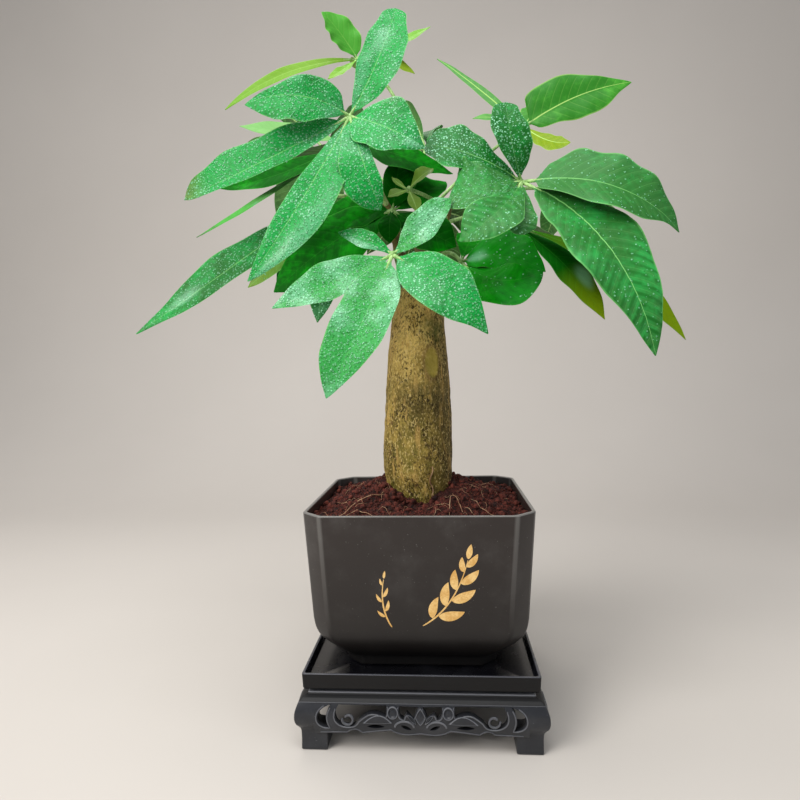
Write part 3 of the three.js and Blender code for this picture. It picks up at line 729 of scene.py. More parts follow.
def water_material():
    """Water drops: clear in the middle, denser towards their rims, where a painted reflection
    brightens their colour.
    """
    material, nodes, shader = new_material(
        "water", IOR=1.33, Specular_IOR_Level=0.6, Coat_Weight=0.4, Coat_Roughness=0.04,
    )
    rim = nodes.add("ShaderNodeLayerWeight")
    rim.inputs["Blend"].default_value = 0.35
    facing = rim.outputs["Facing"]
    ripple = nodes.noise(nodes.coordinates(), 400.0, 1.0)
    nodes.fill(
        # Painted reflection: the colour brightens towards the rims as the surface turns away from
        # view.
        shader, Base_Color=nodes.mix(facing, srgb(104, 194, 136), srgb(200, 242, 218)),
        Roughness=nodes.times(ripple, 0.1), Alpha=nodes.ramp(facing, 0.5, 0.4),
    )
    return material


RIB = srgb(132, 206, 116)
LEAF_FINISH = {
    "leaf": (
        leaf_top("leaf_upper", srgb(18, 100, 26), srgb(16, 152, 62), RIB, 0.44, 0.22),
        leaf_under("leaf_lower", srgb(60, 118, 50), srgb(104, 158, 82), RIB),
    ),
    # A darker, duller copy of the leaf finish for the leaves deep in the crown, partly painted
    # shade.
    "leaf_dark": (
        leaf_top(
            "dark_leaf_upper", srgb(2, 82, 3), srgb(8, 144, 8), srgb(66, 158, 50), 0.5, 0.3, 0.04,
        ),
        leaf_under("dark_leaf_lower", srgb(34, 80, 22), srgb(66, 112, 42), RIB),
    ),
    "leaf_young": (
        leaf_top(
            "young_leaf_upper", srgb(44, 122, 30), srgb(76, 162, 50), srgb(182, 222, 122), 0.42,
            0.12,
        ),
        leaf_under("young_leaf_lower", srgb(112, 146, 30), srgb(158, 186, 74), RIB),
    ),
}
STALK = stem_material("leaf_stalk", srgb(98, 148, 62), srgb(178, 216, 138))
SHOOT = stem_material("young_wood", srgb(66, 62, 22), srgb(120, 104, 44), 0.6)
BARK = bark_material()
SOIL = soil_material("peat", srgb(15, 6, 5), srgb(80, 35, 28), 340.0)
CRUMB = soil_material("peat_crumb", srgb(24, 9, 8), srgb(114, 54, 43), 260.0)
FIBRE = soil_material("coir_fibre", srgb(132, 92, 68), srgb(200, 162, 128), 200.0)
POT = plastic_material("pot_plastic", srgb(42, 35, 32), srgb(146, 144, 140), 0.32, 0.14)
TRAY = plastic_material("tray_plastic", srgb(8, 8, 13), srgb(84, 85, 92), 0.24, 0.4, 0.08, 0.26)
STAND = plastic_material(
    "stand_plastic", srgb(31, 33, 38), srgb(130, 132, 138), 0.38, 0.1, shine=0.42,
)
GOLD = gold_material()
WATER = water_material()


# Stand: board and moulding, corner feet, pierced aprons with raised carving

APRON_FACE = 67.2
APRON_THICK = 3.6
APRON_TOP_Z = 27.2
BEAD_TOP_Z = 26.4
BOARD_LOW_Z = 24.6
# The board's outline as half widths and heights, and the foot's as heights, outer and inner sides
BOARD = [
    (62.5, BOARD_LOW_Z), (63.4, BOARD_LOW_Z), (63.4, 26.4), (67.1, 26.6), (67.1, 27.2),
    (65.4, 29), (62.8, 29.8), (62.3, STAND_TOP_Z), (61.5, STAND_TOP_Z),
]
FOOT = [
    (0, 66, 51.5), (6, 65.9, 51.5), (11, 66.1, 51.7), (13, 66.9, 54.5), (15.4, 68.5, 57),
    (18.5, 69.2, 57), (22, 69, 57), (25, 68, 57), (27.2, 67.1, 57),
]
FOOT_EASE_Z = 0.6
QUARTERS = [Matrix.Rotation(quarter * math.pi / 2, 3, "Z") for quarter in range(4)]


def swell(z):
    """The stand's sides swell below the moulding and come in again at the feet."""
    return 2 * max(0, 1 - ((z - 18.5) / 8.5) ** 2)


def trace(start, *parts, steps=7):
    """A flat outline: each part is a corner, or a control point and an end of a curve."""
    points = [start]
    for part in parts:
        if isinstance(part[0], tuple):
            curve = [Vector(p) for p in (points[-1], *part)]
            points += [tuple(bezier(curve, i / steps)) for i in range(1, steps + 1)]
        else:
            points.append(part)
    return points


def mirrored(points):
    """The same outline on the other side of the middle."""
    return [(-x, z) for x, z in reversed(points)]


RIGHT_EDGE = trace(
    (0, 10.9), ((3, 10.2), (6, 9.9)), ((12, 9.6), (16, 13)), ((24, 12.2), (31.5, 10.8)), (33, 12),
    ((36.5, 14.6), (40, 11)), ((46, 10.9), (58, 10.4)), (58, APRON_TOP_Z),
)
CRESCENT = trace(
    (48.5, 26.7), ((56.6, 24.5), (56.4, 19.5)), ((56, 15), (50, 14.4)),
    ((53.6, 21.5), (48.5, 26.7)),
)[:-1]
SCROLL = trace(
    (44.8, 26.6), ((49.4, 18), (41.8, 15.6)), ((35.6, 14.4), (34, 18.4)),
    ((31.6, 20.6), (28.6, 22.2)), ((24.4, 23.6), (18.9, 21)), ((18, 24), (18.6, 26.5)),
)
BESIDE_LOTUS = trace(
    (11.5, 26.3), ((12, 23.6), (11, 21.2)), ((10.2, 20.2), (9, 20)), ((8.8, 21.6), (7.4, 22.8)),
    ((5.6, 21.6), (4, 19)), ((3.7, 20.8), (3, 22)), ((2, 24.4), (1, 26)),
)


def lens(x, z, length, height, lean=0.0):
    """A slot with two pointed ends."""
    cos, sin = math.cos(lean), math.sin(lean)
    near = (x - length / 2 * cos, z - length / 2 * sin)
    far = (x + length / 2 * cos, z + length / 2 * sin)
    up = (x - height * sin, z + height * cos)
    down = (x + height * sin, z - height * cos)
    return trace(near, (up, far), (down, near))[:-1]


OUTLINED_HOLES = [CRESCENT, SCROLL, BESIDE_LOTUS]
HOLES = OUTLINED_HOLES + [lens(24.2, 15.6, 10, 2.2), lens(7.8, 15.2, 6.6, 2, 0.42)]


def on_apron(x, z, proud):
    """A point on the front of the apron, given as it is drawn flat."""
    return Vector((x, -(APRON_FACE + swell(z) + proud), z))


def apron_plate():
    """The pierced plate: a flat outline with its openings, then bent to the swell."""
    curve = bpy.data.curves.new("apron_outline", "CURVE")
    curve.dimensions = "2D"
    curve.fill_mode = "BOTH"
    curve.extrude = APRON_THICK / 2
    loops = [mirrored(RIGHT_EDGE)[:-1] + RIGHT_EDGE]
    loops += HOLES + [mirrored(hole) for hole in HOLES]
    for loop in loops:
        spline = curve.splines.new("POLY")
        spline.points.add(len(loop) - 1)
        for point, (x, z) in zip(spline.points, loop):
            point.co = (x, z, 0, 1)
        spline.use_cyclic_u = True
    outline = add_object("apron_outline", curve)
    mesh = evaluated_mesh(outline)
    bpy.data.objects.remove(outline)
    shell = bmesh.new()
    shell.from_mesh(mesh)
    bmesh.ops.remove_doubles(shell, verts=shell.verts, dist=0.001)
    for axis, levels in ((1, range(11, 28)), (0, range(-54, 55, 6))):
        for level in levels:
            normal = Vector((0, 0, 0))
            normal[axis] = 1
            bmesh.ops.bisect_plane(
                shell, geom=shell.verts[:] + shell.edges[:] + shell.faces[:], dist=0.001,
                plane_co=normal * level, plane_no=normal,
            )
    bmesh.ops.recalc_face_normals(shell, faces=shell.faces)
    points = [on_apron(v.co.x, v.co.y, v.co.z - APRON_THICK / 2) for v in shell.verts]
    # Painted shade on the plate's inner face.
    dim = [0.95 if v.co.z < 0 else 0.0 for v in shell.verts]
    faces = [tuple(v.index for v in face.verts) for face in shell.faces]
    shell.free()
    bpy.data.meshes.remove(mesh)
    return points, faces, dim


def turns_left(loop):
    """Whether a flat closed outline runs anticlockwise."""
    return sum(a[0] * b[1] - b[0] * a[1] for a, b in zip(loop, loop[1:] + loop[:1])) > 0


def pad(shape, outline, levels, proud=0.0):
    """A raised form on the apron. Each level is a share of the outline and a height."""
    middle_x = sum(x for x, z in outline) / len(outline)
    middle_z = sum(z for x, z in outline) / len(outline)
    if not turns_left(outline):
        outline = outline[::-1]
    rings = []
    for share, height in levels:
        rings.append([
            on_apron(middle_x + (x - middle_x) * share, middle_z + (z - middle_z) * share,
                     proud + height)
            for x, z in outline
        ])
    # Painted highlight round the rim of each raised form.
    loft(shape, rings, edge=[1.0 if 0.8 < share < 0.97 else 0.0 for share, height in levels])


def wire(shape, path, radius, **values):
    """A thin raised line."""
    sweep(shape, path, [radius] * len(path), 6, **values)


def bead(shape, loop, out, radius):
    """A thin raised line that follows a closed outline, and stops below the moulding."""
    count = len(loop)
    sign = 1 if turns_left(loop) else -1
    path = []
    for k in range(count + 1):
        before = Vector(loop[(k - 1) % count])
        here = Vector(loop[k % count])
        after = Vector(loop[(k + 1) % count])
        way = (after - before).normalized()
        spot = here + Vector((way.y, -way.x)) * (sign * out)
        if spot.y < BEAD_TOP_Z:
            path.append(on_apron(spot.x, spot.y, radius * 0.25))
        elif len(path) > 1:
            wire(shape, path, radius, edge=0.6)
            path = []
    if len(path) > 1:
        wire(shape, path, radius, edge=0.6)


RAISED_RIM = [
    (1.04, -0.5), (1.0, 0.5), (0.9, 0.95), (0.78, 0.8), (0.6, 0.4), (0.3, 0.6), (0.05, 0.7),
]
LOBE = [(1.03, -0.5), (1.0, 0.35), (0.9, 0.75), (0.8, 0.65), (0.5, 0.8), (0.1, 0.85)]
KNOB = [
    (1.02, -0.5), (1.0, 0.6), (0.88, 1.2), (0.72, 1.1), (0.52, 0.3), (0.3, 0.2), (0.1, 0.5),
]


def apron_carving():
    """The raised forms on one apron: lotus, petals, lobes, knobs, curls and outlines."""
    # Edge values on the raised lines paint highlights along them.
    shape = Shape()
    lotus = trace((0, 17), ((2.2, 19), (2.9, 21.6)), ((2, 24.2), (0, 26.2)))
    pad(shape, lotus + mirrored(lotus)[1:-1], RAISED_RIM, 0.3)
    petal = trace((2.2, 17.6), ((5.4, 18.8), (7.2, 22.6)), ((3.4, 22.4), (2.2, 17.6)))[:-1]
    lobe = trace((15, 18), ((22.5, 26.4), (31.4, 17.6)), ((22.5, 17.2), (15, 18)))[:-1]
    knob = [(15 + 3.2 * math.cos(a * math.pi / 10), 23.4 + 3.3 * math.sin(a * math.pi / 10))
            for a in range(20)]
    for side in (1, -1):
        for outline, levels in ((petal, RAISED_RIM), (lobe, LOBE), (knob, KNOB)):
            pad(shape, outline if side > 0 else mirrored(outline), levels)
        arc = []
        for k in range(15):
            turn = math.pi * (0.02 + 0.96 * k / 14)
            x = side * (8.7 + 5.2 * math.cos(turn))
            arc.append(on_apron(x, 15.4 + 3.4 * math.sin(turn), 0.1))
        wire(shape, arc, 0.55, edge=0.7)
        curl = []
        for k in range(22):
            turn = math.radians(172 + 15.5 * k)
            reach = 3.3 - 0.055 * k
            x = side * (39.4 - reach * math.cos(turn))
            curl.append(on_apron(x, 18.8 + reach * math.sin(turn), -0.9))
        wire(shape, curl, 0.62, flat=1.4, edge=0.5)
        for hole in OUTLINED_HOLES:
            bead(shape, hole if side > 0 else mirrored(hole), 0.62, 0.38)
    low = mirrored(RIGHT_EDGE[:-2])[:-1] + RIGHT_EDGE[:-2]
    line = [on_apron(x, z + 0.75, 0.05) for x, z in low if abs(x) < 57]
    wire(shape, line, 0.34, edge=0.5)
    return shape


def eased(profile, radius, steps=3):
    """An open profile of (half width, height) points with its inner corners rounded."""
    points = [tuple(profile[0])]
    for before, here, after in zip(profile, profile[1:], profile[2:]):
        b, h, a = Vector(before), Vector(here), Vector(after)
        reach = min(radius, 0.45 * (b - h).length, 0.45 * (a - h).length)
        start = h + (b - h).normalized() * reach
        end = h + (a - h).normalized() * reach
        points += [tuple(bezier((start, h, end), i / steps)) for i in range(steps + 1)]
    points.append(tuple(profile[-1]))
    return points


def board_highlight(half, z):
    """How bright the board's painted edge highlights are: its top edge most, its widest one less.
    """
    if half < 62.9 and z > STAND_TOP_Z - 0.5:
        return 1.5
    return 1.0 if half > 66.9 and z < 27.3 else 0.0


def board_shade(z):
    """How dark the board's sloping moulding and its underside are."""
    if 27.3 < z < 30.4:
        return 0.85
    return 0.9 if z < 25 else 0.0


def make_stand():
    """The board, four feet, and four aprons with their carving, as one shape."""
    shape = Shape()
    board = eased(BOARD, 0.45)
    loft(
        shape, [square_ring(half, z, 0.9) for half, z in board],
        edge=[board_highlight(half, z) for half, z in board], deep=[board_shade(z) for half, z in board],
    )
    levels = smooth_levels(FOOT, 3)
    levels[0][0] = FOOT_EASE_Z
    levels = [[0, 65.4, 52.1], [FOOT_EASE_Z * 0.3, 65.8, 51.7]] + levels
    for turn in QUARTERS:
        rings = []
        for z, out, inner in levels:
            corners = [(inner, inner), (out, inner), (out, out), (inner, out)]
            rings.append([turn @ p for p in level_ring(corners, z, 0.8, 3)])
        loft(shape, rings)
    points, faces, dim = apron_plate()
    carving = apron_carving()
    for turn in QUARTERS:
        shape.add([turn @ p for p in points], faces, deep=dim)
        shape.add([turn @ p for p in carving.points], carving.faces, **carving.values)
    place(shape.build("pierced_stand", [STAND], 35), "stand", "stand")


# Tray: a shallow dish with a raised lip, hollow under its foot ring

TRAY_PROFILE = [
    (0.5, 33.9), (56, 33.9), (56, 31.3), (60.6, 31.3), (61.4, 32.4), (64.2, 33.2), (64.9, 34),
    (65.3, TRAY_RIM_Z), (63.8, TRAY_RIM_Z), (62.8, 37.4), (0.5, 37.4),
]


def tray_shade(half, z):
    """The outside of the rim and the underside are darker."""
    return 0.75 if half > 60 and z < 37 or half > 64.4 and z < TRAY_RIM_Z - 0.4 else 0.0


def make_tray():
    """The drip tray. Its rim is paler with a painted highlight, and painted shade darkens its
    outside below the rim and its underside.
    """
    shape = Shape()
    levels = eased(TRAY_PROFILE, 0.5)
    loft(
        shape, [square_ring(half, z, min(1.6, half * 0.3)) for half, z in levels],
        # Painted highlight along the top of the rim.
        edge=[1.0 if half > 63.7 and z > TRAY_RIM_Z - 0.3 else 0.0 for half, z in levels],
        deep=[tray_shade(half, z) for half, z in levels],
    )
    place(shape.build("drip_tray", [TRAY], 35), "tray", "tray")


# Pot: tapered, with cut corners, a rounded lower edge, a recessed foot and drain holes

# Heights and half widths, from inside the foot up to the rim and down the inside
POT_PROFILE = [
    (POT_FOOT_Z + 3.7, 39.5), (POT_FOOT_Z, 39.5), (POT_FOOT_Z, 44), (43.6, 44), (44.6, 47.2),
    (47.5, 50.4), (52, 54.6), (57, 58.2), (62, 60.2), (POT_WAIST_Z, POT_WAIST_HALF),
    (POT_RIM_Z, POT_RIM_HALF), (POT_RIM_Z, POT_RIM_HALF - WALL),
    (POT_WAIST_Z, POT_WAIST_HALF - WALL), (61.6, 58.2), (56, 55.6), (50, 51), (46.4, 47.4),
    (43.4, 43),
]


def cut_corners(half, clear=0.0):
    """The pot's outline at one width. Its cut corners narrow downwards."""
    return octagon(half - clear, half - clear - CORNER_CUT * math.sqrt(half / POT_RIM_HALF))


DRAIN = ((3.6, 40.4), (3, 42), (3, 45))


def pot_levels():
    """The pot's wall as a fine profile: smooth round its lower edge, eased elsewhere."""
    foot = eased(POT_PROFILE[:5], 0.5)[:-1]
    bowl = smooth_levels(POT_PROFILE[4:10], 4)[:-1]
    rim = eased(POT_PROFILE[9:13], 0.85, 4)[:-1]
    inside = smooth_levels(POT_PROFILE[12:], 2)
    return foot + bowl + rim + inside


def make_pot():
    """The pot, with a paler rim of wear and painted highlight, painted highlights along its cut
    corners, painted shade darker towards its foot, and its drain holes.
    """
    shape = Shape()
    levels = pot_levels()
    rings = [level_ring(cut_corners(half), z, 2.2, 3) for z, half in levels]
    # The rim is paled, partly wear and partly painted highlight.
    worn = [1.0 if z > POT_RIM_Z - 0.5 else 0.0 for z, half in levels]
    # Painted shade: darker towards the foot.
    low = [min(0.92, max(0.0, (100 - z) / 58)) for z, half in levels]
    # Painted highlights along the borders of the cut corners, fading low down.
    corner = [0.5 if k % 4 in (1, 2) else 0.0 for k in range(len(rings[0]))]
    edge = [max(w, c * max(0.0, 1 - 1.6 * d)) for w, d in zip(worn, low) for c in corner]
    loft(shape, rings, edge=edge, deep=low)
    pot = shape.build("square_pot", [POT])
    drains = Shape()
    for x in (-24, 0, 24):
        for y in (-24, 0, 24):
            loft(drains, [circle(x, y, z, radius, 24) for radius, z in DRAIN])
    cut(pot, drains.build("drain_holes", [POT]))
    pot.data.shade_smooth()
    pot.data.set_sharp_from_angle(angle=math.radians(35))
    place(pot, "pot", "pot")


# Gold print: two plain leaf sprigs on the pot's front face

PRINT_PROUD = 0.12
PRINT_SUNK = -0.15
WALL_SLOPE = (POT_RIM_HALF - POT_WAIST_HALF) / (POT_RIM_Z - POT_WAIST_Z)


def on_pot(spot, proud):
    """A point on the pot's front face, given as it is drawn flat."""
    return Vector((spot.x, -(POT_WAIST_HALF + (spot.y - POT_WAIST_Z) * WALL_SLOPE) - proud, spot.y))


def brush(shape, controls, wide, narrow, steps, full):
    """One brush stroke along a curve, widest at `full` of its length."""
    curve = [Vector(p) for p in controls]
    rings = []
    for k in range(steps + 1):
        t = k / steps
        middle = bezier(curve, t)
        way = bezier_way(curve, t)
        fullness = math.sin(math.pi * t ** (math.log(0.5) / math.log(full))) ** 0.8
        half = (narrow + (wide - narrow) * fullness) / 2
        left = middle + Vector((-way.y, way.x)) * half
        right = middle - Vector((-way.y, way.x)) * half
        rings.append([
            on_pot(left, PRINT_SUNK), on_pot(left, PRINT_PROUD),
            on_pot(right, PRINT_PROUD), on_pot(right, PRINT_SUNK),
        ])
    loft(shape, rings)


def sprig(shape, stem, leaves, wide):
    """A curved stem with leaves on both sides, each given by its place, turn and length."""
    brush(shape, stem, 0.9, 0.35, 20, 0.3)
    curve = [Vector(p) for p in stem]
    for place_on, turn, length in leaves:
        base = bezier(curve, place_on)
        way = bezier_way(curve, place_on)
        way.rotate(Matrix.Rotation(math.radians(turn), 2))
        tip = base + Matrix.Rotation(math.radians(-turn * 0.35), 2) @ way * length
        control = base + way * length * 0.55
        brush(shape, (base + way * 0.7, control, tip), wide * length / 12, 0.15, 12, 0.42)


def make_print():
    """Both gold sprigs, the large one on the right."""
    shape = Shape()
    sprig(
        shape, ((2, 68), (20, 78), (27, 105)),
        [(0.16, 58, 13), (0.24, -52, 15), (0.4, 50, 14), (0.5, -48, 15), (0.64, 46, 12),
         (0.73, -44, 13), (0.86, 38, 9), (0.92, -36, 10), (1.0, 4, 9)],
        4.4,
    )
    sprig(
        shape, ((-15, 67), (-22, 78), (-19, 94)),
        [(0.25, 52, 6), (0.36, -50, 7), (0.56, 46, 6), (0.66, -44, 6.5), (0.88, 38, 4.5),
         (1.0, 2, 5)],
        3.4,
    )
    place(shape.build("gold_sprig", [GOLD], 35), "pot")


# The trunk's outline, which the soil's hole and a fibre on the bark follow too

TRUNK_ROOT_Z = 104
TRUNK_TOP_Z = 263
# Heights, radii, and how far the middle lies to the right
TRUNK_LEVELS = [
    [TRUNK_ROOT_Z, 7, 1], [110, 12.5, 1], [118, 16.6, 0.5], [128, 19.4, 0], [138, 20.9, -0.6],
    [148, TRUNK_HALF, -1], [166, 21.7, -1], [190, 20.8, -1], [213, 19.3, -1],
    [236, 17, -0.4], [250, 15.6, 0.4], [258, 13.8, 0.8],
    [TRUNK_TOP_Z, 10.4, 0.8],
]
TRUNK_ROWS = smooth_levels(TRUNK_LEVELS, 4)


def trunk_radius(z, turn, clear=0.0):
    """The trunk's middle and radius at one height and direction."""
    rows = TRUNK_ROWS
    k = 0
    while k < len(rows) - 2 and rows[k + 1][0] < z:
        k += 1
    low, high = rows[k], rows[k + 1]
    t = min(max((z - low[0]) / (high[0] - low[0]), 0), 1)
    radius = low[1] + (high[1] - low[1]) * t
    middle = low[2] + (high[2] - low[2]) * t
    lobes = 0.022 * math.sin(3 * turn + z / 31) + 0.012 * math.sin(5 * turn - z / 17)
    return middle, radius * (1 + lobes) + clear


def around_trunk(z, turn, clear):
    """A flat point beside the trunk at one height and direction."""
    middle, reach = trunk_radius(z, turn, clear)
    return Vector((middle + reach * math.cos(turn), reach * math.sin(turn)))


# Soil: a crumbly mound round the trunk, with scattered crumbs and fibres

SOIL_EDGE_Z = 123
SOIL_EDGE_HALF = 62.7
SOIL_REACH = 62
SOIL_WALL = ((43.8, 43), (47, 47.4), (56, 55.6), (68, 59.3), (118, 62.3))
MOUND = 19.5
DIP = 16
DIP_AT = Vector((-1, -26))
INWARDS = 0.7
SOIL_AT_TRUNK_Z = 126
WALL_CLEAR = 0.4
TRUNK_CLEAR = 0.2
SIDE_STEPS = 28
CORNER_STEPS = 5


def soil_height(spot):
    """The height of the soil: a mound with a dip in front of the trunk, and lumps."""
    x, y = spot.xy
    level = min(1, spot.xy.length / SOIL_REACH)
    dip = DIP * math.exp(-((x - DIP_AT.x) ** 2 + (y - DIP_AT.y) ** 2) / 330)
    lump = noise.fractal(Vector((x, y, 3)) * 0.12, 1.0, 2.0, 5) * 2.4
    fine = noise.fractal(Vector((x, y, 9)) * 0.5, 0.7, 2.0, 3) * 0.8
    return SOIL_EDGE_Z + MOUND * (1 - level**1.6) - dip * (1 - level**3) + lump + fine


def soil_outline(half, z):
    """The pot's inner outline with its sides split into short steps."""
    corners = [Vector(corner) for corner in cut_corners(half, WALL_CLEAR)]
    ring = []
    for k, corner in enumerate(corners):
        parts = SIDE_STEPS if k % 2 else CORNER_STEPS
        for i in range(parts):
            p = corner.lerp(corners[(k + 1) % 8], i / parts)
            ring.append(Vector((p.x, p.y, z)))
    return ring


def make_soil():
    """The peat: a block that fills the pot, its mound, and a plain hole for the trunk."""
    rings = [soil_outline(half, z) for z, half in SOIL_WALL]
    edge = soil_outline(SOIL_EDGE_HALF, 0)
    steps = 44
    for k in range(steps + 1):
        level = 1 - k / steps * INWARDS
        ring = []
        for p in edge:
            flat = p * level
            turn = math.atan2(flat.y, flat.x)
            inner = around_trunk(SOIL_AT_TRUNK_Z, turn, TRUNK_CLEAR).to_3d()
            spot = p.lerp(inner, (1 - level) / INWARDS)
            ring.append(Vector((spot.x, spot.y, soil_height(spot))))
        rings.append(ring)
    for z in (120, 112, 103.6):
        beside = max(z, TRUNK_ROOT_Z)
        rings.append([
            Vector((*around_trunk(beside, math.atan2(p.y, p.x), TRUNK_CLEAR), z)) for p in edge
        ])
    shape = Shape()
    loft(shape, rings)
    return place(shape.build("peat_mound", [SOIL], 60), "soil", "soil")


FULL_TURN = 6.283


def scatter_tree(name, tilt, chooser=None):
    """Geometry Nodes that scatter copies of small shapes over a surface and join them."""
    nodes, given, out = new_group(
        name,
        [("Surface", "Geometry"), ("Density", "Float"), ("Seed", "Int"), ("Smallest", "Float"),
         ("Largest", "Float"), ("Lift", "Float"), ("Shapes", "Collection"), ("Finish", "Material")],
        [("Pieces", "Geometry")], "GeometryNodeTree",
    )
    spread = nodes.add("GeometryNodeDistributePointsOnFaces")
    amount = given["Density"]
    if chooser:
        where = nodes.add("GeometryNodeInputNamedAttribute", data_type="FLOAT")
        where.inputs["Name"].default_value = chooser
        amount = nodes.times(amount, where.outputs["Attribute"])
    nodes.fill(spread.inputs, Mesh=given["Surface"], Density=amount, Seed=given["Seed"])
    shapes = nodes.add("GeometryNodeCollectionInfo")
    nodes.fill(
        shapes.inputs, Collection=given["Shapes"], Separate_Children=True, Reset_Children=True,
    )
    turn = nodes.add("FunctionNodeRandomValue", data_type="FLOAT_VECTOR")
    nodes.fill(
        turn.inputs, Min=(-tilt, -tilt, 0), Max=(tilt, tilt, FULL_TURN), Seed=given["Seed"],
    )
    turned = nodes.add("FunctionNodeRotateRotation", rotation_space="LOCAL")
    nodes.feed(turned.inputs["Rotation"], spread.outputs["Rotation"])
    nodes.feed(turned.inputs["Rotate By"], turn.outputs["Value"])
    size = nodes.add("FunctionNodeRandomValue", data_type="FLOAT")
    nodes.feed(size.inputs[2], 0.0)
    nodes.feed(size.inputs[3], 1.0)
    nodes.feed(size.inputs["Seed"], nodes.plus(given["Seed"], 7))
    skewed = nodes.math("POWER", size.outputs[1], 2.2)
    scale = nodes.ramp(skewed, nodes.less(given["Largest"], given["Smallest"]), given["Smallest"])
    away = nodes.add("ShaderNodeVectorMath", operation="SCALE")
    nodes.feed(away.inputs[0], spread.outputs["Normal"])
    nodes.feed(away.inputs["Scale"], nodes.times(given["Lift"], scale))
    moved = nodes.add("GeometryNodeSetPosition")
    nodes.fill(moved.inputs, Geometry=spread.outputs["Points"], Offset=away.outputs[0])
    copies = nodes.add("GeometryNodeInstanceOnPoints")
    nodes.fill(
        copies.inputs, Points=moved.outputs["Geometry"], Instance=shapes.outputs[0],
        Pick_Instance=True, Rotation=turned.outputs["Rotation"], Scale=scale,
    )
    real = nodes.add("GeometryNodeRealizeInstances")
    nodes.feed(real.inputs[0], copies.outputs[0])
    finish = nodes.add("GeometryNodeSetMaterial")
    nodes.fill(finish.inputs, Geometry=real.outputs[0], Material=given["Finish"])
    nodes.feed(out["Pieces"], finish.outputs[0])
    return nodes.tree


# Values of the leaflets' points, which drops scattered over them don't need
LEAF_VALUES = (
    "rib", "along", "edge", "vein", "gold", "wrinkle", "glare", "tone", "wet", "film", "age",
    "ribbed", "pale",
)


def grown(name, tree, surface, shapes, material, **sizes):
    """Runs a scatter tree over a surface and gives the result as a plain mesh piece."""
    piece = add_object(name, surface.copy())
    modifier = piece.modifiers.new("scatter", "NODES")
    modifier.node_group = tree
    values = {"Shapes": shapes, "Finish": material, **sizes}
    for item in tree.interface.items_tree:
        if item.item_type == "SOCKET" and item.in_out == "INPUT" and item.name in values:
            modifier[item.identifier] = values[item.name]
    applied(piece)
    for value in LEAF_VALUES:
        if value in piece.data.attributes:
            piece.data.attributes.remove(piece.data.attributes[value])
    piece.data.shade_smooth()
    return piece


def shape_store(name, meshes):
    """A collection of loose shapes that a scatter tree picks from."""
    store = bpy.data.collections.new(name)
    for k, mesh in enumerate(meshes):
        store.objects.link(bpy.data.objects.new(f"{name}_{k}", mesh))
    return store


def forget(store):
    """Removes the loose shapes once they have been copied."""
    for piece in list(store.objects):
        bpy.data.objects.remove(piece)
    bpy.data.collections.remove(store)


def crumb_mesh(name, seed, fine):
    """A rough lump about one unit across."""
    shell = bmesh.new()
    bmesh.ops.create_icosphere(shell, subdivisions=fine, radius=0.5)
    push = Vector((seed * 3.1, seed * 1.7, seed * 5.3))
    for v in shell.verts:
        rough = 1 + 0.55 * noise.noise(v.co * 2.6 + push)
        v.co = Vector((v.co.x * 1.15, v.co.y * 0.9, v.co.z * 0.75)) * rough
    mesh = bpy.data.meshes.new(name)
    shell.to_mesh(mesh)
    shell.free()
    return mesh


def is_mound(face):
    """Whether a face of the soil looks up and lies above the wall that hides in the pot."""
    return face.normal.z >= 0.25 and face.calc_center_median().z >= 0.119


def make_crumbs(soil):
    """Crumbs of peat over the mound, small ones everywhere and larger lumps here and there."""
    surface = kept_faces(soil.data, "mound", is_mound)
    tree = scatter_tree("crumb_scatter", 1.2)
    for name, first_seed, fine, sizes in (
        ("crumbs", 1, 1, {"Density": 560000.0, "Seed": 3, "Smallest": 0.5 * MM,
                          "Largest": 1.9 * MM, "Lift": 0.1}),
        ("lumps", 9, 2, {"Density": 60000.0, "Seed": 8, "Smallest": 1.4 * MM,
                         "Largest": 4.4 * MM, "Lift": 0.12}),
    ):
        meshes = [crumb_mesh(f"{name}_{k}", k + first_seed, fine) for k in range(4)]
        store = shape_store("loose_" + name, meshes)
        place(grown("peat_" + name, tree, surface, store, CRUMB, **sizes), "soil")
        forget(store)
    bpy.data.meshes.remove(surface)


PLACED_FIBRES = [
    ((-20.5, -24), (-50, -49)), ((19.8, -24), (25, -48)), ((19.5, -26), (17.5, -52)),
    ((-48, -46), (-24, -52)), ((-58, -38), (-44, -54)), ((30, -30), (52, -44)),
    ((-40, -30), (-52, -20)),
]
BRIDGING = 3
FIBRES = 76


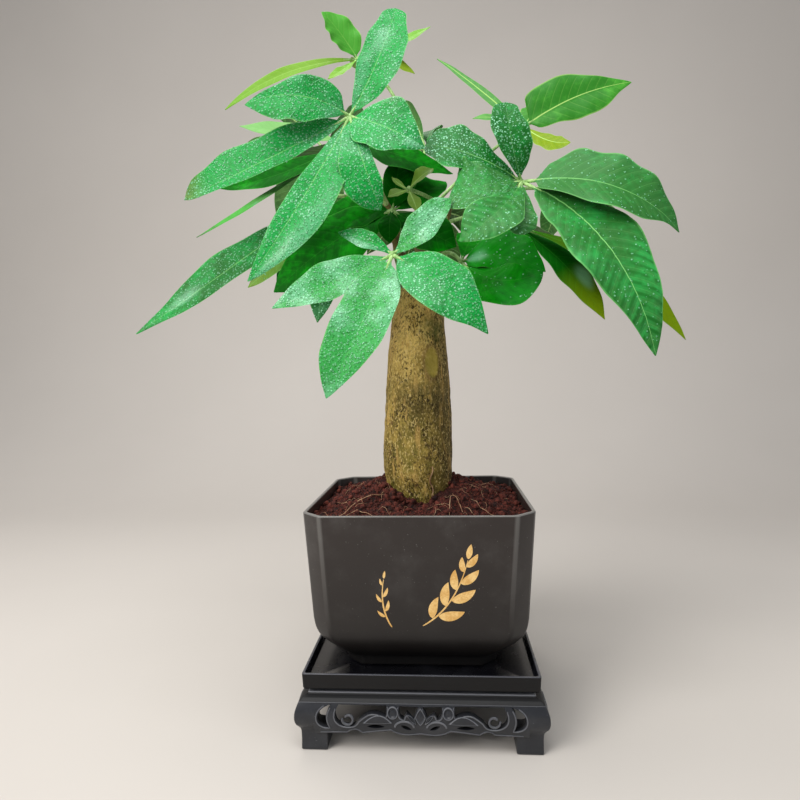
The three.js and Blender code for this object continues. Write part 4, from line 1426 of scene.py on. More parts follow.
def make_fibres():
    """Coir fibres on the mound: a few placed ones, of which the first bridge the dip from
    the trunk, and random thin ones. One more runs up the trunk."""
    luck = random.Random(21)
    shape = Shape()
    for k in range(FIBRES):
        if k < len(PLACED_FIBRES):
            start, end = (Vector(p) for p in PLACED_FIBRES[k])
        else:
            turn = luck.uniform(0, 2 * math.pi)
            reach = luck.uniform(24, 56)
            start = Vector((reach * math.cos(turn), reach * math.sin(turn)))
            away = luck.uniform(0, 2 * math.pi)
            end = start + Vector((math.cos(away), math.sin(away))) * luck.uniform(3, 14)
        if max(abs(end.x), abs(end.y)) > 58 or abs(end.x) + abs(end.y) > 106 or end.length < 22:
            continue
        bridging = k < BRIDGING
        bow = 0.03 if bridging else 0.22
        side = Vector((-(end - start).y, (end - start).x)) * luck.uniform(-bow, bow)
        lift = luck.uniform(0.6, 2.2)
        ends = [soil_height(p) for p in (start, end)]
        path = []
        for i in range(9):
            t = i / 8
            p = start.lerp(end, t) + side * math.sin(math.pi * t)
            z = soil_height(p) + 0.7 + lift * math.sin(math.pi * t)
            if bridging:
                z = max(z, ends[0] * (1 - t) + ends[1] * t + 1.2)
            path.append(Vector((p.x, p.y, z)))
        thick = 0.34 if bridging else 0.22 if k < len(PLACED_FIBRES) else luck.uniform(0.08, 0.18)
        sweep(shape, path, [thick * (1 - 0.5 * abs(i - 4) / 4) for i in range(9)], 4)
    path = []
    for k in range(9):
        z = 131 + 2.3 * k
        path.append(Vector((*around_trunk(z, -1.2 + 0.05 * math.sin(k * 1.1), 0.5), z)))
    sweep(shape, path, [0.3] * 9, 6)
    place(shape.build("coir_fibres", [FIBRE], 60), "soil")


# Trunk: a swelling bare stem with rough bark, a round scar and a cut top

SCAR = Vector((9, -17, 213))
SCAR_HALF_WIDTH = 4.6
SCAR_HALF_HEIGHT = 9
# Stains and painted leaf shadow, each as a middle, a reach and a depth; the highest is the painted
# shadow.
STAINS_AND_SHADE = (
    (Vector((13, -16, 233)), 10, 0.9), (Vector((0, -20, 192)), 13, 0.6),
    (Vector((14, -14, 188)), 12, 0.4), (Vector((-14, 12, 200)), 18, 0.5),
)
BUDS = ((14, -4, 243, 3.2), (-12, -8, 236, 2.6), (4, 15, 226, 3.0), (-10, 14, 205, 2.6))


def bump_at(distance, middle, width):
    """A soft hump, 1 at its middle."""
    return math.exp(-((distance - middle) / width) ** 2)


def bark_relief(spot, z):
    """How far the bark stands out at a point: its ridges with their creases, and its rings."""
    long = Vector((spot.x, spot.y, z * 0.42))
    ridges = 0.4 * noise.fractal(long * 0.2, 0.9, 2.1, 6)
    crease = abs(noise.noise(long * 0.11 + Vector((5, 1, 9))))
    rings = 0.3 * math.sin(z * 0.62 + 3 * noise.noise(spot * 0.05))
    rings *= max(0, noise.noise(spot * 0.06 + Vector((3, 7, 2))))
    return ridges - 0.45 * max(0, 0.12 - crease) / 0.12, rings


def make_trunk():
    """The trunk's bark with its scar, stains, painted leaf shadow and buds."""
    shape = Shape()
    sides = 110
    count = 150
    rings = []
    marks = {"scar": [], "callus": [], "stain": []}
    for k in range(count + 1):
        z = TRUNK_ROOT_Z + (TRUNK_TOP_Z - TRUNK_ROOT_Z) * k / count
        ring = []
        for i in range(sides):
            turn = 2 * math.pi * i / sides
            middle, radius = trunk_radius(z, turn)
            out = Vector((math.cos(turn), math.sin(turn), 0))
            spot = out * radius + Vector((middle, 0, z))
            ridges, band = bark_relief(spot, z)
            off = spot - SCAR
            gap = math.hypot(
                off.x / SCAR_HALF_WIDTH, off.y / SCAR_HALF_WIDTH, off.z / SCAR_HALF_HEIGHT,
            )
            rim = 0.7 * bump_at(gap, 1.05, 0.2) - 0.5 * bump_at(gap, 0, 0.7)
            rough = 0.0 if k in (0, count) else ridges * min(1, 0.3 + gap) + band + rim
            ring.append(spot + out * rough)
            marks["scar"].append(min(1.0, max(0.0, (1.15 - gap) / 0.3)))
            marks["callus"].append(0.6 * bump_at(gap, 1.22, 0.14))
            marks["stain"].append(sum(
                depth * bump_at((spot - place_of).length, 0, reach)
                for place_of, reach, depth in STAINS_AND_SHADE
            ))
        rings.append(ring)
    loft(shape, rings, **marks)
    for x, y, z, reach in BUDS:
        base = Vector((x, y, z))
        out = Vector((x, y, 0)).normalized()
        path = [base - out * 1.5, base + out * 0.5, base + out * 1.6 + Vector((0, 0, 0.5))]
        sweep(shape, path, [reach, reach * 0.9, reach * 0.55], 14, scar=0.2)
    place(shape.build("bare_trunk", [BARK], 60), "bark", "trunk")


# Shoots: short young stems out of the cut top

# Each shoot's curve, and its radius at the foot
SHOOTS = {
    "shoot_left": (((-5, -4, 252), (-10, -9, 286), (-20, -12, 319)), 4.4),
    "shoot_right": (((7, -5, 252), (12, -11, 284), (22, -8, 313)), 4.8),
    "shoot_back": (((1, 7, 252), (3, 15, 292), (0, 18, 336)), 4.4),
}
SHOOT_TIP = 2.5


def shoot_point(name, share):
    """The point at a share of a shoot's length."""
    return bezier([Vector(p) for p in SHOOTS[name][0]], share)


def make_shoots():
    """The three shoots, with a swelling at each bud ring."""
    for number, (name, (_, thick)) in enumerate(SHOOTS.items()):
        shape = Shape()
        path = []
        radii = []
        for k in range(41):
            t = k / 40
            path.append(shoot_point(name, t))
            node = 0.5 * bump_at((t * 6 + 0.4 * number) % 1, 0.5, 0.09)
            radii.append(thick + (SHOOT_TIP - thick) * t + node - 0.2)
        sweep(shape, path, radii, 16)
        for i, point in enumerate(shape.points):
            shape.points[i] = point + Vector((0.25, 0.25, 0.1)) * noise.noise(point * 0.5)
        place(shape.build("woody_" + name, [SHOOT], 60), "shoot", name)


# Leaves: a stalk, a hub, and leaflets with their own ribs

FOLD = 0.2
RIB_END = 0.97
FIRST_LEAF_SEED = 100
RIB_TIP_RADIUS = 0.25
HALF_THICKNESS = 0.24
VEIN_GAP = 6.2
WIDTH_AT = (0.12, 0.3, 0.5, 0.7, 0.88)


def blade_profile(t):
    """A plain leaflet's width along its length, as a share of its widest."""
    s = max(0.0, (t - 0.05) / 0.95)
    return math.sin(math.pi * min(s, 1) ** 1.22) ** 0.92 if 0 < s < 1 else 0.0


def side_widths(given, start, blunt):
    """Smoothly joined half widths of one side, as a list of (share of length, width)."""
    if not given:
        return None
    rows = [(start * 0.5, 0.9), (start, 1.0)]
    rows += [(share, width) for share, width in zip(WIDTH_AT, given) if share > start + 0.04]
    if blunt:
        rows += [(0.94, given[4] * 0.86), (0.97, given[4] * 0.62), (0.99, given[4] * 0.34)]
    return rows + [(1.0, 0.3)]


def width_at(rows, t):
    """A width between the given ones, on a curve that doesn't overshoot."""
    if t <= rows[0][0]:
        return rows[0][1]
    k = 1
    while k < len(rows) - 1 and rows[k][0] < t:
        k += 1
    (t0, w0), (t1, w1) = rows[k - 1], rows[k]
    slopes = []
    for j in (k - 1, k):
        if 0 < j < len(rows) - 1:
            low = (rows[j][1] - rows[j - 1][1]) / (rows[j][0] - rows[j - 1][0])
            high = (rows[j + 1][1] - rows[j][1]) / (rows[j + 1][0] - rows[j][0])
            slopes.append(0.0 if low * high <= 0 else 2 * low * high / (low + high))
        else:
            slopes.append(0.0 if j == 0 else (w1 - w0) / (t1 - t0) * 1.2)
    span = t1 - t0
    x = min(max((t - t0) / span, 0), 1)
    curve = (2 * x**3 - 3 * x**2 + 1) * w0 + (x**3 - 2 * x**2 + x) * span * slopes[0]
    return curve + (3 * x**2 - 2 * x**3) * w1 + (x**3 - x**2) * span * slopes[1]


def half_width(rows, half, t):
    """One side's half width: from its own rows, or from a plain leaflet of that half width."""
    if rows:
        return max(0.25, width_at(rows, t))
    return max(1.0 if t < 0.1 else 0.25, half * blade_profile(t))


def spine_of(hub, plan):
    """The curve from the hub over the leaflet's middle to its tip."""
    end = Vector(plan["tip"])
    chord = (hub + end) / 2
    middle = Vector(plan["mid"]) if plan["mid"] else chord + Vector((0, 0, plan.get("arch", 8)))
    return [hub, middle * 2 - chord, end]


def blade_faces(steps, across_steps):
    """The upper faces, and the lower ones with both ends. The two skins share their edges."""
    count = across_steps + 1
    start_low = (steps + 1) * count

    def low(r, i):
        return r * count + i if i in (0, across_steps) else start_low + r * (count - 2) + i - 1

    upper = []
    lower = []
    for r in range(steps):
        for i in range(across_steps):
            a = r * count + i
            upper.append((a, a + 1, a + count + 1, a + count))
            lower.append((low(r, i), low(r + 1, i), low(r + 1, i + 1), low(r, i + 1)))
    for r in (0, steps):
        for i in range(across_steps):
            ring = [r * count + i, low(r, i), low(r, i + 1), r * count + i + 1]
            lower.append(tuple(dict.fromkeys(ring if r == 0 else reversed(ring))))
    return upper, lower


def leaflet_rib(shape, spine, up, start, half, tone):
    """The rib below a leaflet: it leaves the hub inside the blade and stands out further on."""
    path = []
    radii = []
    for k in range(27):
        t = k / 26 * RIB_END
        along = bezier_way(spine, t)
        normal = along.cross(up).normalized().cross(along)
        radius = RIB_TIP_RADIUS + 0.8 * (1 - t) ** 2.4 * min(1, 0.45 + half / 20)
        free = 0.9 * radius * min(1, max(0, (t - start * 0.5) / (start + 0.06)))
        path.append(bezier(spine, t) - normal * free)
        radii.append(radius)
    sweep(shape, path, radii, 8, 2, tone=tone)


def leaflet_looks(plan, luck):
    """The values that are the same all over a leaflet."""
    wet = plan.get("wet", 0.0)
    return {
        "tone": plan.get("tone", 0.5) + luck.uniform(-0.12, 0.12), "wet": wet,
        "film": plan.get("film", wet), "age": plan.get("age", 0.0),
        "ribbed": plan.get("ribbed", 0.5), "pale": plan.get("pale", 0.0),
    }


def leaflet_marks(plan, t, v):
    """The values that change along a leaflet: its painted glare, its gold and its painted crease
    shade.
    """
    marks = {
        "glare": sum(
            bright * math.exp(-(((t - at) / reach) ** 2 + ((v - aside) / 0.4) ** 2) ** 2)
            for at, reach, aside, bright in plan.get("glare", ())
        ),
    }
    for key in ("gold", "wrinkle"):
        near, far = plan.get(key, (0.0, 0.0))
        marks[key] = max(0.0, near + (far - near) * t)
    return marks


def leaflet(shape, hub, plan, face, luck):
    """One leaflet: a thin blade with waves, curled edges and a rib that stands out below."""
    spine = spine_of(hub, plan)
    up = Vector(plan.get("face", face)).normalized()
    half = plan.get("half") or max(*plan["left"], *plan["right"])
    start = plan.get("start", 0.05)
    blunt = plan.get("blunt", False)
    sides = [side_widths(plan[hand], start, blunt) for hand in ("left", "right")]
    crinkle = plan.get("crinkle", 0.0)
    steps = 110 if crinkle else 46
    across_steps = 16 if half >= 8 else 10
    length = sum((bezier(spine, (k + 1) / 20) - bezier(spine, k / 20)).length for k in range(20))
    veins = max(7.0, length / VEIN_GAP)
    rise = math.sin(FOLD + plan.get("fold", 0.0))
    curl = plan.get("curl", luck.uniform(0.04, 0.12))
    waves = [(luck.uniform(2.6, 4.4), luck.uniform(0, 6.3)) for _ in sides]
    roll = luck.uniform(-0.05, 0.05)
    looks = leaflet_looks(plan, luck)
    tops = []
    lows = []
    marks = {key: [] for key in ("rib", "along", "edge", "vein", "gold", "wrinkle", "glare")}
    for k in range(steps + 1):
        t = 1 - (1 - k / steps) ** (1.6 if blunt else 1)
        middle = bezier(spine, t)
        along = bezier_way(spine, t)
        across = along.cross(up).normalized()
        normal = across.cross(along)
        widths = [half_width(rows, half, t) for rows in sides]
        firm = min(1, t / 0.14)
        for i in range(across_steps + 1):
            v = 2 * i / across_steps - 1
            v = v * (1.25 - 0.25 * v * v)
            hand = 0 if v < 0 else 1
            width = widths[hand]
            y = v * width
            wave = math.sin(2 * math.pi * waves[hand][0] * t + waves[hand][1])
            height = rise * (math.sqrt(y * y + 1.2) - 1.095)
            height -= curl * width * abs(v) ** 3
            height += 0.05 * width * v * v * wave * firm
            height += roll * y * math.sin(2.4 * t)
            spot = middle + across * y
            height += 0.35 * noise.noise(spot * 0.07) * firm * min(1, width / 6)
            phase = veins * (t - 0.7 * abs(v) * width / length * (1 + 0.35 * abs(v)))
            if crinkle:
                puff = 0.5 - 0.5 * math.cos(2 * math.pi * phase)
                height += crinkle * puff * (0.35 + 0.65 * abs(v)) * (1 - abs(v) ** 5) * firm
                height += 0.5 * crinkle * noise.noise(spot * 0.22) * firm
            inside = 0 < i < across_steps
            thick = HALF_THICKNESS * (1 - 0.8 * v * v) if inside else 0
            tops.append(spot + normal * (height + thick))
            if inside:
                lows.append(spot + normal * (height - thick))
            here = {"rib": abs(y), "along": t, "edge": abs(v), "vein": phase}
            for key, value in {**here, **leaflet_marks(plan, t, v)}.items():
                marks[key].append(value)
    count = across_steps + 1
    for key, column in marks.items():
        marks[key] = column + [x for k, x in enumerate(column) if 0 < k % count < across_steps]
    upper, lower = blade_faces(steps, across_steps)
    first = len(shape.points)
    shape.add(tops + lows, upper, 0, **marks, **looks)
    shape.faces.extend(tuple(first + i for i in face) for face in lower)
    shape.slots.extend([1] * len(lower))
    leaflet_rib(shape, spine, up, start, half, looks["tone"])


def make_leaf(name, leaf, seed):
    """A leaf: its stalk, the knob at its hub and its leaflets."""
    luck = random.Random(seed)
    shape = Shape()
    hub = Vector(leaf["hub"])
    bend = Vector(leaf["bend"])
    stalk = [shoot_point(leaf["shoot"], leaf["up"]), bend, hub]
    shares = [k / 30 for k in range(31)]
    radii = [
        1.0 + 0.15 * (1 - t) + 0.9 * math.exp(-t / 0.05) + 0.5 * math.exp(-(1 - t) / 0.05)
        for t in shares
    ]
    sweep(shape, [bezier(stalk, t) for t in shares], radii, 12, 2, tone=0.5)
    knob = (hub - bend).normalized()
    sweep(
        shape, [hub - knob * 1.3, hub - knob * 0.4, hub + knob * 0.5, hub + knob * 1.1],
        [1.5, 1.95, 1.8, 1.1], 14, 2, tone=0.6,
    )
    for plan in leaf["blades"]:
        leaflet(shape, hub, {**leaf["look"], **plan}, leaf["face"], luck)
    finish = [*LEAF_FINISH[leaf["slot"]], STALK]
    return place(shape.build(name.replace("leaf_", "leaflets_"), finish, 50), leaf["slot"], name)


def blade(tip, mid=None, left=(), right=(), **own):
    """A leaflet's tip, a point halfway along it, half widths on both sides, and its own looks."""
    return {"tip": tip, "mid": mid, "left": left, "right": right, **own}


# A leaf's look, and a blade's own, say how its leaflets look: their tone (0 deep, 1 light), how
# wet, crinkled, golden, pale or aged they are, and where the blades start. A painted glare is
# given by its place and reach along the blade, its place across it and its strength. Gold and
# painted crease shade have one value at the hub and one at the tip.
LEAVES = {
    "leaf_upper_left": {
        "shoot": "shoot_left", "up": 0.86, "bend": (-24, -42, 326), "hub": (-32, -60, 344),
        "face": (0.05, -0.95, 0.3), "slot": "leaf",
        "look": {"wet": 1.0, "film": 0.8, "tone": 0.85},
        "blades": [
            blade((-7, -48, 406), (-17, -62, 370), (3, 7, 10, 10, 7.5), (4, 10, 13, 12.5, 8),
                  blunt=True, film=0.5, glare=((0.3, 0.28, -0.55, 0.9), (0.7, 0.12, -0.2, 0.8))),
            blade((-82, -82, 343), (-56, -76, 349), (5, 12, 16, 16, 10), (9, 14, 11, 6, 2.5)),
            blade((-120, -70, 301), (-72, -78, 317), (3, 6, 6.5, 5, 3), (7, 12, 13.5, 14.5, 11.5),
                  blunt=True, age=0.5, film=0.3),
            blade((-80, -92, 253), (-53, -87, 293), (5, 14, 16, 13, 6), (3, 6, 8, 7, 3.5), film=0.3,
                  glare=((0.82, 0.4, -0.75, 1.0),)),
            blade((8, -72, 321), (-10, -74, 331), (9, 19, 17, 11, 4.5), (7, 15, 15, 10, 4.5),
                  film=0.25, glare=((0.85, 0.12, 0.3, 1.2),)),
            blade((-15, -74, 290), (-23, -78, 313), (3, 5, 5.5, 6, 4), (5, 9, 13, 14, 9), film=0.5),
        ],
    },
    "leaf_front": {
        "shoot": "shoot_left", "up": 0.45, "bend": (-9, -48, 272), "hub": (-9, -80, 266),
        "face": (0, -0.9, 0.35), "slot": "leaf",
        "look": {"wet": 1.0, "film": 1.3, "tone": 0.9, "ribbed": 0.15, "pale": 0.14},
        "blades": [
            blade((-37, -76, 279), (-22, -80, 274), (1.5, 3.5, 5.5, 4.5, 2.5),
                  (1.5, 3.5, 5, 4.5, 2.5), film=0.2, pale=0.0, glare=((0.55, 0.4, -0.8, 1.3),)),
            blade((21, -79, 293), (6, -82, 278), (2, 6.5, 9, 8.5, 6.5), (2.5, 5.5, 8, 6, 3.5)),
            blade((-67, -96, 239), (-38, -92, 251), (5, 9, 9.5, 7, 3), (4, 9.5, 12, 9.5, 4.5)),
            blade((-40, -104, 195), (-24, -102, 227), (7.5, 13, 13, 9, 4), (7, 13.5, 14, 13, 7)),
            blade((37, -96, 224), (16, -96, 246), (7, 13.5, 15.5, 11, 4.5), (6, 12.5, 13, 9.5, 3.5),
                  film=0.4, pale=0.0, wrinkle=(0.0, 0.2)),
        ],
    },
    "leaf_right": {
        "shoot": "shoot_right", "up": 0.92, "bend": (36, -38, 308), "hub": (59, -55, 307),
        "face": (0.1, -0.85, 0.5), "slot": "leaf",
        "look": {"wet": 0.35, "film": 0.08, "tone": 0.28, "crinkle": 0.25, "start": 0.07},
        "blades": [
            blade((51, -58, 348), (53, -64, 325), (2, 5, 8, 10, 8), (5, 9.5, 11, 10, 6.5),
                  blunt=True, wet=1.0, tone=0.2, crinkle=0.0, ribbed=0.25),
            blade((8, -60, 327), (34, -63, 319), (3, 7, 11, 15, 9), (3, 7, 13, 17, 14), blunt=True,
                  wet=1.0, tone=0.2, crinkle=0.0, ribbed=0.6),
            blade((20, -70, 296), (38, -75, 300), (3, 7, 12, 14, 11), (5, 13, 17, 20, 19),
                  blunt=True, wet=0.6, crinkle=0.5, ribbed=0.1, pale=0.12, wrinkle=(0.3, 0.2)),
            blade((24, -92, 269), (43, -89, 283), (3, 8, 13, 10, 5), (3, 7, 11, 12, 8), crinkle=0.5,
                  ribbed=0.1, pale=0.12, wrinkle=(0.5, 0.4)),
            blade((57, -84, 273), (56, -78, 287), (2, 4, 6, 7, 6), (3, 6, 8, 9, 8), blunt=True,
                  crinkle=0.5, ribbed=0.1, pale=0.12, wrinkle=(0.5, 0.5)),
            blade((138, -62, 276), (102, -72, 298), (12, 21, 21, 18, 10), (8, 14, 17, 14, 4.5),
                  wet=0.14, crinkle=0.1, ribbed=0.6, pale=0.1, wrinkle=(0.1, 0.4)),
            blade((117, -88, 212), (96, -82, 267), (5, 15, 20, 15, 8), (7, 17, 20.5, 15.5, 7),
                  wet=0.12, crinkle=0.5, tone=0.4, ribbed=1.0, pale=0.08, wrinkle=(-0.3, 1.1)),
        ],
    },
    "leaf_high_right": {
        "shoot": "shoot_back", "up": 0.66, "bend": (40, 22, 348), "hub": (71, 20, 366),
        "face": (-0.1, -0.8, 0.55), "slot": "leaf_young",
        "look": {"tone": 0.36, "ribbed": 0.8, "wrinkle": (0.15, 0.15)},
        "blades": [
            blade((139, 18, 390), (103, 12, 380), (16, 18, 15.5, 9, 4), (7, 11, 15, 13, 5),
                  face=(0, -1, 0.15)),
            blade((97, 2, 348), (84, 8, 352), (2, 4, 5.5, 5.5, 3.5), (3, 6, 8, 9, 4),
                  gold=(0.9, 0.9)),
            blade((15, 34, 420), (36, 30, 402), (3, 4, 3, 2, 1), (3, 4, 3, 2, 1), pale=0.2),
            blade((37, 8, 368), (53, 12, 369), half=4, pale=0.3),
            blade((104, 90, 415), (86, 55, 393), half=13, face=(-0.2, -0.3, 0.9)),
        ],
    },
    "leaf_high_left": {
        "shoot": "shoot_back", "up": 0.97, "bend": (-3, 16, 392), "hub": (-37, 15, 413),
        "face": (0, -0.7, 0.7), "slot": "leaf_young",
        "look": {"tone": 0.9, "curl": 0.03, "ribbed": 0.2},
        "blades": [
            blade((-58, 4, 438), (-47, 10, 427), (4, 10.5, 13, 12, 6), (6.5, 12.5, 14.5, 13, 7)),
            blade((-123, 4, 380), (-84, 12, 405), (1.5, 3, 4, 3.5, 2), (2, 4, 5, 4, 2),
                  face=(0.1, -1, 0.3), gold=(0.6, 0.5)),
            blade((-55, 4, 396), (-46, 8, 403), half=5, gold=(0.3, 0.6)),
            blade((11, 24, 436), (-12, 22, 425), half=6, gold=(0.4, 0.4)),
            blade((0, 26, 407), (-18, 22, 414), half=8, gold=(0.9, 0.9)),
            blade((-34, 84, 430), (-36, 50, 429), half=12, face=(0, -0.2, 0.95)),
        ],
    },
    "leaf_low_left": {
        "shoot": "shoot_left", "up": 0.7, "bend": (-38, -22, 320), "hub": (-53, -25, 311),
        "face": (0.1, -0.85, 0.5), "slot": "leaf",
        "look": {"tone": 0.5, "wet": 0.75, "film": 0.5},
        "blades": [
            blade((-160, -50, 232), (-114, -40, 265), (5, 9, 8, 7, 2.5), (4, 11, 13.5, 8, 3),
                  glare=((0.69, 0.09, 0.1, 0.8),), film=0.35, wet=0.85),
            blade((-97, -40, 258), (-76, -36, 279), half=7, gold=(0.0, 0.6), wet=0.2),
            blade((-83, -30, 256), (-65, -28, 285), half=12),
            blade((-55, -48, 236), (-53, -33, 272), half=10, tone=0.0),
            blade((-95, 42, 314), (-77, 10, 319), half=12, face=(-0.2, 0, 0.95)),
        ],
    },
    "leaf_low_right": {
        "shoot": "shoot_right", "up": 0.38, "bend": (20, -26, 282), "hub": (27, -32, 270),
        "face": (0.1, -0.85, 0.5), "slot": "leaf_dark",
        "look": {"tone": 0.9, "wet": 0.12, "ribbed": 0.25, "wrinkle": (0.2, 0.2)},
        "blades": [
            blade((73, -44, 261), (48, -42, 271), (5, 14, 19, 17, 9), (5.5, 9, 9.5, 7.5, 4),
                  glare=((0.2, 0.15, 0.1, 1.4),)),
            blade((69, -60, 259), (46, -57, 255), (4, 11, 13, 11, 5), (6, 15, 19, 17, 8), tone=0.8),
            blade((27, -44, 240), (23, -40, 256), half=10),
            blade((44, 14, 296), (34, -12, 287), half=10, face=(0.3, 0, 0.9)),
        ],
    },
    "leaf_right_behind": {
        "shoot": "shoot_right", "up": 0.74, "bend": (42, 4, 311), "hub": (61, 8, 300),
        "face": (0.1, -0.7, 0.7), "slot": "leaf_dark",
        "look": {"tone": 0.2, "ribbed": 0.2},
        "blades": [
            blade((115, -6, 237), (91, 2, 274), half=12, gold=(-1.1, 0.95),
                  glare=((0.68, 0.09, -0.5, 1.3),), tone=0.1),
            blade((160, -14, 223), (120, -6, 268), half=11, gold=(0.0, 0.85)),
            blade((108, 95, 291), (78, 50, 303), half=13, face=(0, 0, 1)),
            blade((44, 66, 282), (56, 35, 300), half=10, face=(0, 0, 1)),
        ],
    },
    "leaf_left_behind": {
        "shoot": "shoot_left", "up": 1, "bend": (-28, -16, 336), "hub": (-40, -28, 343),
        "face": (0, -0.8, 0.6), "slot": "leaf_dark",
        "look": {"tone": 0.1, "ribbed": 0.2},
        "blades": [
            blade((-125, -44, 287), (-82, -40, 312), half=2.6, pale=0.3, tone=0.6, film=0.8),
            blade((-112, -38, 316), (-73, -38, 324), half=9),
            blade((-101, -34, 353), (-69, -30, 349), half=8, pale=0.7, gold=(0.2, 0.3)),
            blade((23, -28, 322), (-7, -36, 331), (3, 7, 9, 8, 4), (2, 9, 14, 12, 6), tone=0.3),
            blade((-86, 30, 345), (-62, 5, 350), half=11, face=(0, 0, 1)),
        ],
    },
    "leaf_centre": {
        "shoot": "shoot_right", "up": 0.8, "bend": (18, -46, 302), "hub": (-2, -48, 308),
        "face": (0, -0.8, 0.6), "slot": "leaf_young",
        "look": {"gold": (0.8, 0.8), "fold": 0.5, "pale": 0.2},
        "blades": [
            blade((12, -50, 318), (5, -52, 313), half=5),
            blade((-11, -48, 315), (-7, -48, 311), half=2),
            blade((-13, -53, 303), (-8, -51, 305), half=3.6),
            blade((3, -55, 294), (1, -53, 300), half=3.6),
        ],
    },
    "leaf_middle": {
        "shoot": "shoot_left", "up": 0.6, "bend": (-15, -26, 292), "hub": (-12, -36, 300),
        "face": (0, -0.9, 0.4), "slot": "leaf_dark",
        "look": {"tone": 0.4, "ribbed": 0.15},
        "blades": [
            blade((-80, -46, 254), (-44, -42, 283), (6, 15, 22, 22, 12), (6, 14, 17, 15, 8)),
            blade((-54, -32, 300), (-30, -36, 300), half=12),
            blade((24, -46, 276), (6, -44, 287), half=13),
            blade((19, -20, 320), (6, -33, 310), (4, 10, 15, 13, 6), (3, 7, 8, 7, 4)),
            blade((-7, -30, 333), (-9, -38, 317), (3, 7, 8, 7, 4), (4, 10, 12, 10, 5)),
            blade((-13, -47, 279), (-13, -46, 290), half=6.5),
        ],
    },
    "leaf_back_left": {
        "shoot": "shoot_back", "up": 0.8, "bend": (-36, 34, 350), "hub": (-67, 50, 369),
        "face": (-0.2, 0.5, 0.85), "slot": "leaf",
        "look": {"tone": 0.6},
        "blades": [
            blade((-120, 76, 411), half=13),
            blade((-150, 96, 372), half=15),
            blade((-114, 94, 328), half=14),
            blade((-70, 80, 304), half=13),
            blade((-44, 94, 410), half=12),
        ],
    },
    "leaf_back_right": {
        "shoot": "shoot_right", "up": 1, "bend": (66, 34, 334), "hub": (111, 55, 334),
        "face": (0.2, 0.5, 0.85), "slot": "leaf",
        "look": {"tone": 0.5},
        "blades": [
            blade((158, 72, 337), half=14),
            blade((157, 74, 274), half=14),
            blade((137, 105, 296), half=13),
            blade((96, 94, 306), half=11),
            blade((132, 104, 366), half=13),
        ],
    },
    "leaf_back_low": {
        "shoot": "shoot_back", "up": 0.4, "bend": (5, 40, 320), "hub": (8, 55, 321),
        "face": (0, 0.5, 0.85), "slot": "leaf_dark",
        "look": {},
        "blades": [
            blade((-42, 84, 300), half=12),
            blade((-17, 100, 284), half=14),
            blade((24, 108, 284), half=14),
            blade((62, 88, 292), half=12, arch=14),
            blade((6, 104, 340), half=11),
        ],
    },
    "leaf_back_high": {
        "shoot": "shoot_back", "up": 0.88, "bend": (3, 30, 350), "hub": (6, 40, 362),
        "face": (0, 0.45, 0.9), "slot": "leaf",
        "look": {"tone": 0.3},
        "blades": [
            blade((-11, 60, 400), half=9),
            blade((14, 66, 381), half=8),
            blade((-26, 84, 386), half=11),
            blade((36, 90, 366), half=12),
            blade((-20, 100, 360), half=13),
        ],
    },
}


# Water drops: small domes scattered over the wet leaflets

def drop_mesh(name, sides, flat):
    """A dome of water one unit across, closed below."""
    shape = Shape()
    rings = []
    for level in (0.0, 0.35, 0.7, 0.93):
        reach = 0.5 * math.sqrt(1 - level**2)
        rings.append(circle(0, 0, flat * level - 0.05, reach, sides))
    loft(shape, rings)
    mesh = bpy.data.meshes.new(name)
    mesh.from_pydata(shape.points, [], shape.faces)
    return mesh


DROPS_ON = (("leaf_upper_left", 200000.0), ("leaf_front", 250000.0), ("leaf_right", 150000.0))


def make_drops(leaves):
    """Drops on the wet leaves, most of them where the blades are wettest."""
    drops = shape_store("drops", [drop_mesh(f"drop_{k}", 7, 0.3 + 0.08 * k) for k in range(3)])
    tree = scatter_tree("drop_scatter", 0.0, "wet")
    for number, (name, density) in enumerate(DROPS_ON):
        surface = kept_faces(leaves[name].data, "wet_faces", lambda face: face.material_index == 0)
        piece = grown(
            "drops_on_" + name, tree, surface, drops, WATER,
            Density=density, Seed=31 + number, Smallest=0.35 * MM, Largest=1.25 * MM,
        )
        place(piece, "leaf")
        bpy.data.meshes.remove(surface)
    forget(drops)


# Stage, lights and camera

STAGE_HALF = 2600
FLOOR_FRONT = -1400
WALL_BEND = 500
WALL_TOP = 2200
FLOOR_DROP = 0.2
CAMERA_PLACE = (15.26, -383.69, 204.66)
CAMERA_YAW_PITCH_ROLL = (-4.14, -2.27, -1.16)
SENSOR_WIDTH = 36
IMAGE_SIDE = 800
FOCAL_PIXELS = 598.88


def make_stage():
    """A pale floor that curves up into a wall far behind the plant."""
    rows = [(FLOOR_FRONT, 0.0), (WALL_BEND, 0.0)]
    for k in range(1, 13):
        turn = math.pi / 2 * k / 12
        rows.append((WALL_BEND * (1 + math.sin(turn)), WALL_BEND * (1 - math.cos(turn))))
    rows.append((2 * WALL_BEND, WALL_TOP))
    points = [
        Vector((x, y, z - FLOOR_DROP)) for y, z in rows for x in (-STAGE_HALF, STAGE_HALF)
    ]
    shape = Shape()
    shape.add(points, [(2 * k, 2 * k + 1, 2 * k + 3, 2 * k + 2) for k in range(len(rows) - 1)])
    floor, nodes, shader = new_material("backdrop", Roughness=0.75)
    cloud = nodes.noise(nodes.coordinates(), 3.0, 3.0)
    nodes.feed(shader["Base Color"], nodes.mix(cloud, srgb(196, 190, 183), srgb(204, 198, 191)))
    shape.build("backdrop", [floor], 60)


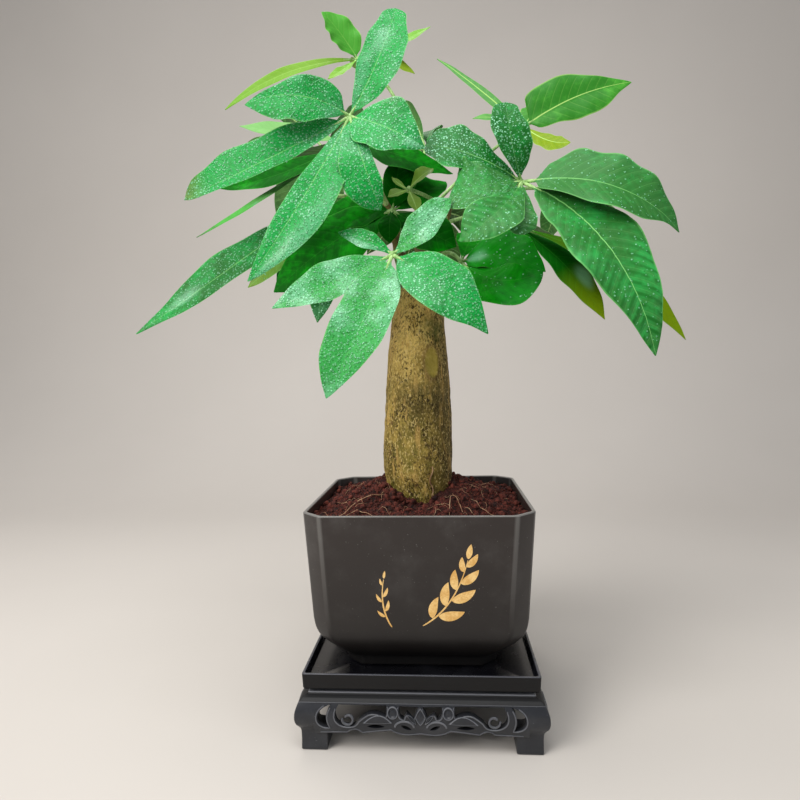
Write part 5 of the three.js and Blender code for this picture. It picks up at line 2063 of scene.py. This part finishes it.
def softbox(name, spot, aim, width, height, watts, colour):
    """A soft rectangular light at one point, turned towards another."""
    light = bpy.data.lights.new(name, "AREA")
    light.shape = "RECTANGLE"
    light.size = width * MM
    light.size_y = height * MM
    light.energy = watts
    light.color = colour
    lamp = add_object(name, light)
    lamp.location = Vector(spot) * MM
    lamp.rotation_euler = (Vector(aim) - Vector(spot)).to_track_quat("-Z", "Y").to_euler()


def make_lights():
    """Four soft lights and a dim, slightly blue sky."""
    softbox("key", (-800, -800, 900), (0, 0, 200), 700, 700, 14, (1.0, 0.98, 0.95))
    softbox("overhead", (-40, -380, 1150), (0, 0, 220), 900, 700, 9, (1.0, 1.0, 1.0))
    softbox("fill", (950, -600, 500), (0, 0, 180), 700, 900, 2.0, (0.93, 0.97, 1.0))
    softbox("rim", (-300, 420, 1100), (0, 0, 250), 500, 500, 2.5, (1.0, 0.98, 0.95))
    world = bpy.data.worlds.new("studio")
    world.use_nodes = True
    sky = world.node_tree.nodes["Background"].inputs
    sky["Color"].default_value = (0.9, 0.93, 1.0, 1.0)
    sky["Strength"].default_value = 0.24
    bpy.context.scene.world = world


def make_camera():
    """The photograph's viewpoint, low in front of the pot and a little to its right."""
    yaw, pitch, roll = (math.radians(a) for a in CAMERA_YAW_PITCH_ROLL)
    ahead = Vector((
        math.sin(yaw) * math.cos(pitch), math.cos(yaw) * math.cos(pitch), math.sin(pitch),
    ))
    right = Vector((math.cos(yaw), -math.sin(yaw), 0))
    up = right.cross(ahead)
    tilted_right = right * math.cos(roll) + up * math.sin(roll)
    tilted_up = up * math.cos(roll) - right * math.sin(roll)
    glass = bpy.data.cameras.new("camera")
    glass.sensor_width = SENSOR_WIDTH
    glass.lens = FOCAL_PIXELS / IMAGE_SIDE * SENSOR_WIDTH
    glass.clip_start = 0.01
    camera = add_object("camera", glass)
    turn = Matrix((tilted_right, tilted_up, -ahead)).transposed()
    camera.matrix_world = Matrix.Translation(Vector(CAMERA_PLACE) * MM) @ turn.to_4x4()
    bpy.context.scene.camera = camera


make_stand()
make_tray()
make_pot()
make_print()
make_crumbs(make_soil())
make_fibres()
make_trunk()
make_shoots()
make_drops({
    name: make_leaf(name, leaf, FIRST_LEAF_SEED + number)
    for number, (name, leaf) in enumerate(LEAVES.items())
})
make_stage()
make_lights()
make_camera()

bpy.context.scene.view_settings.view_transform = "Standard"
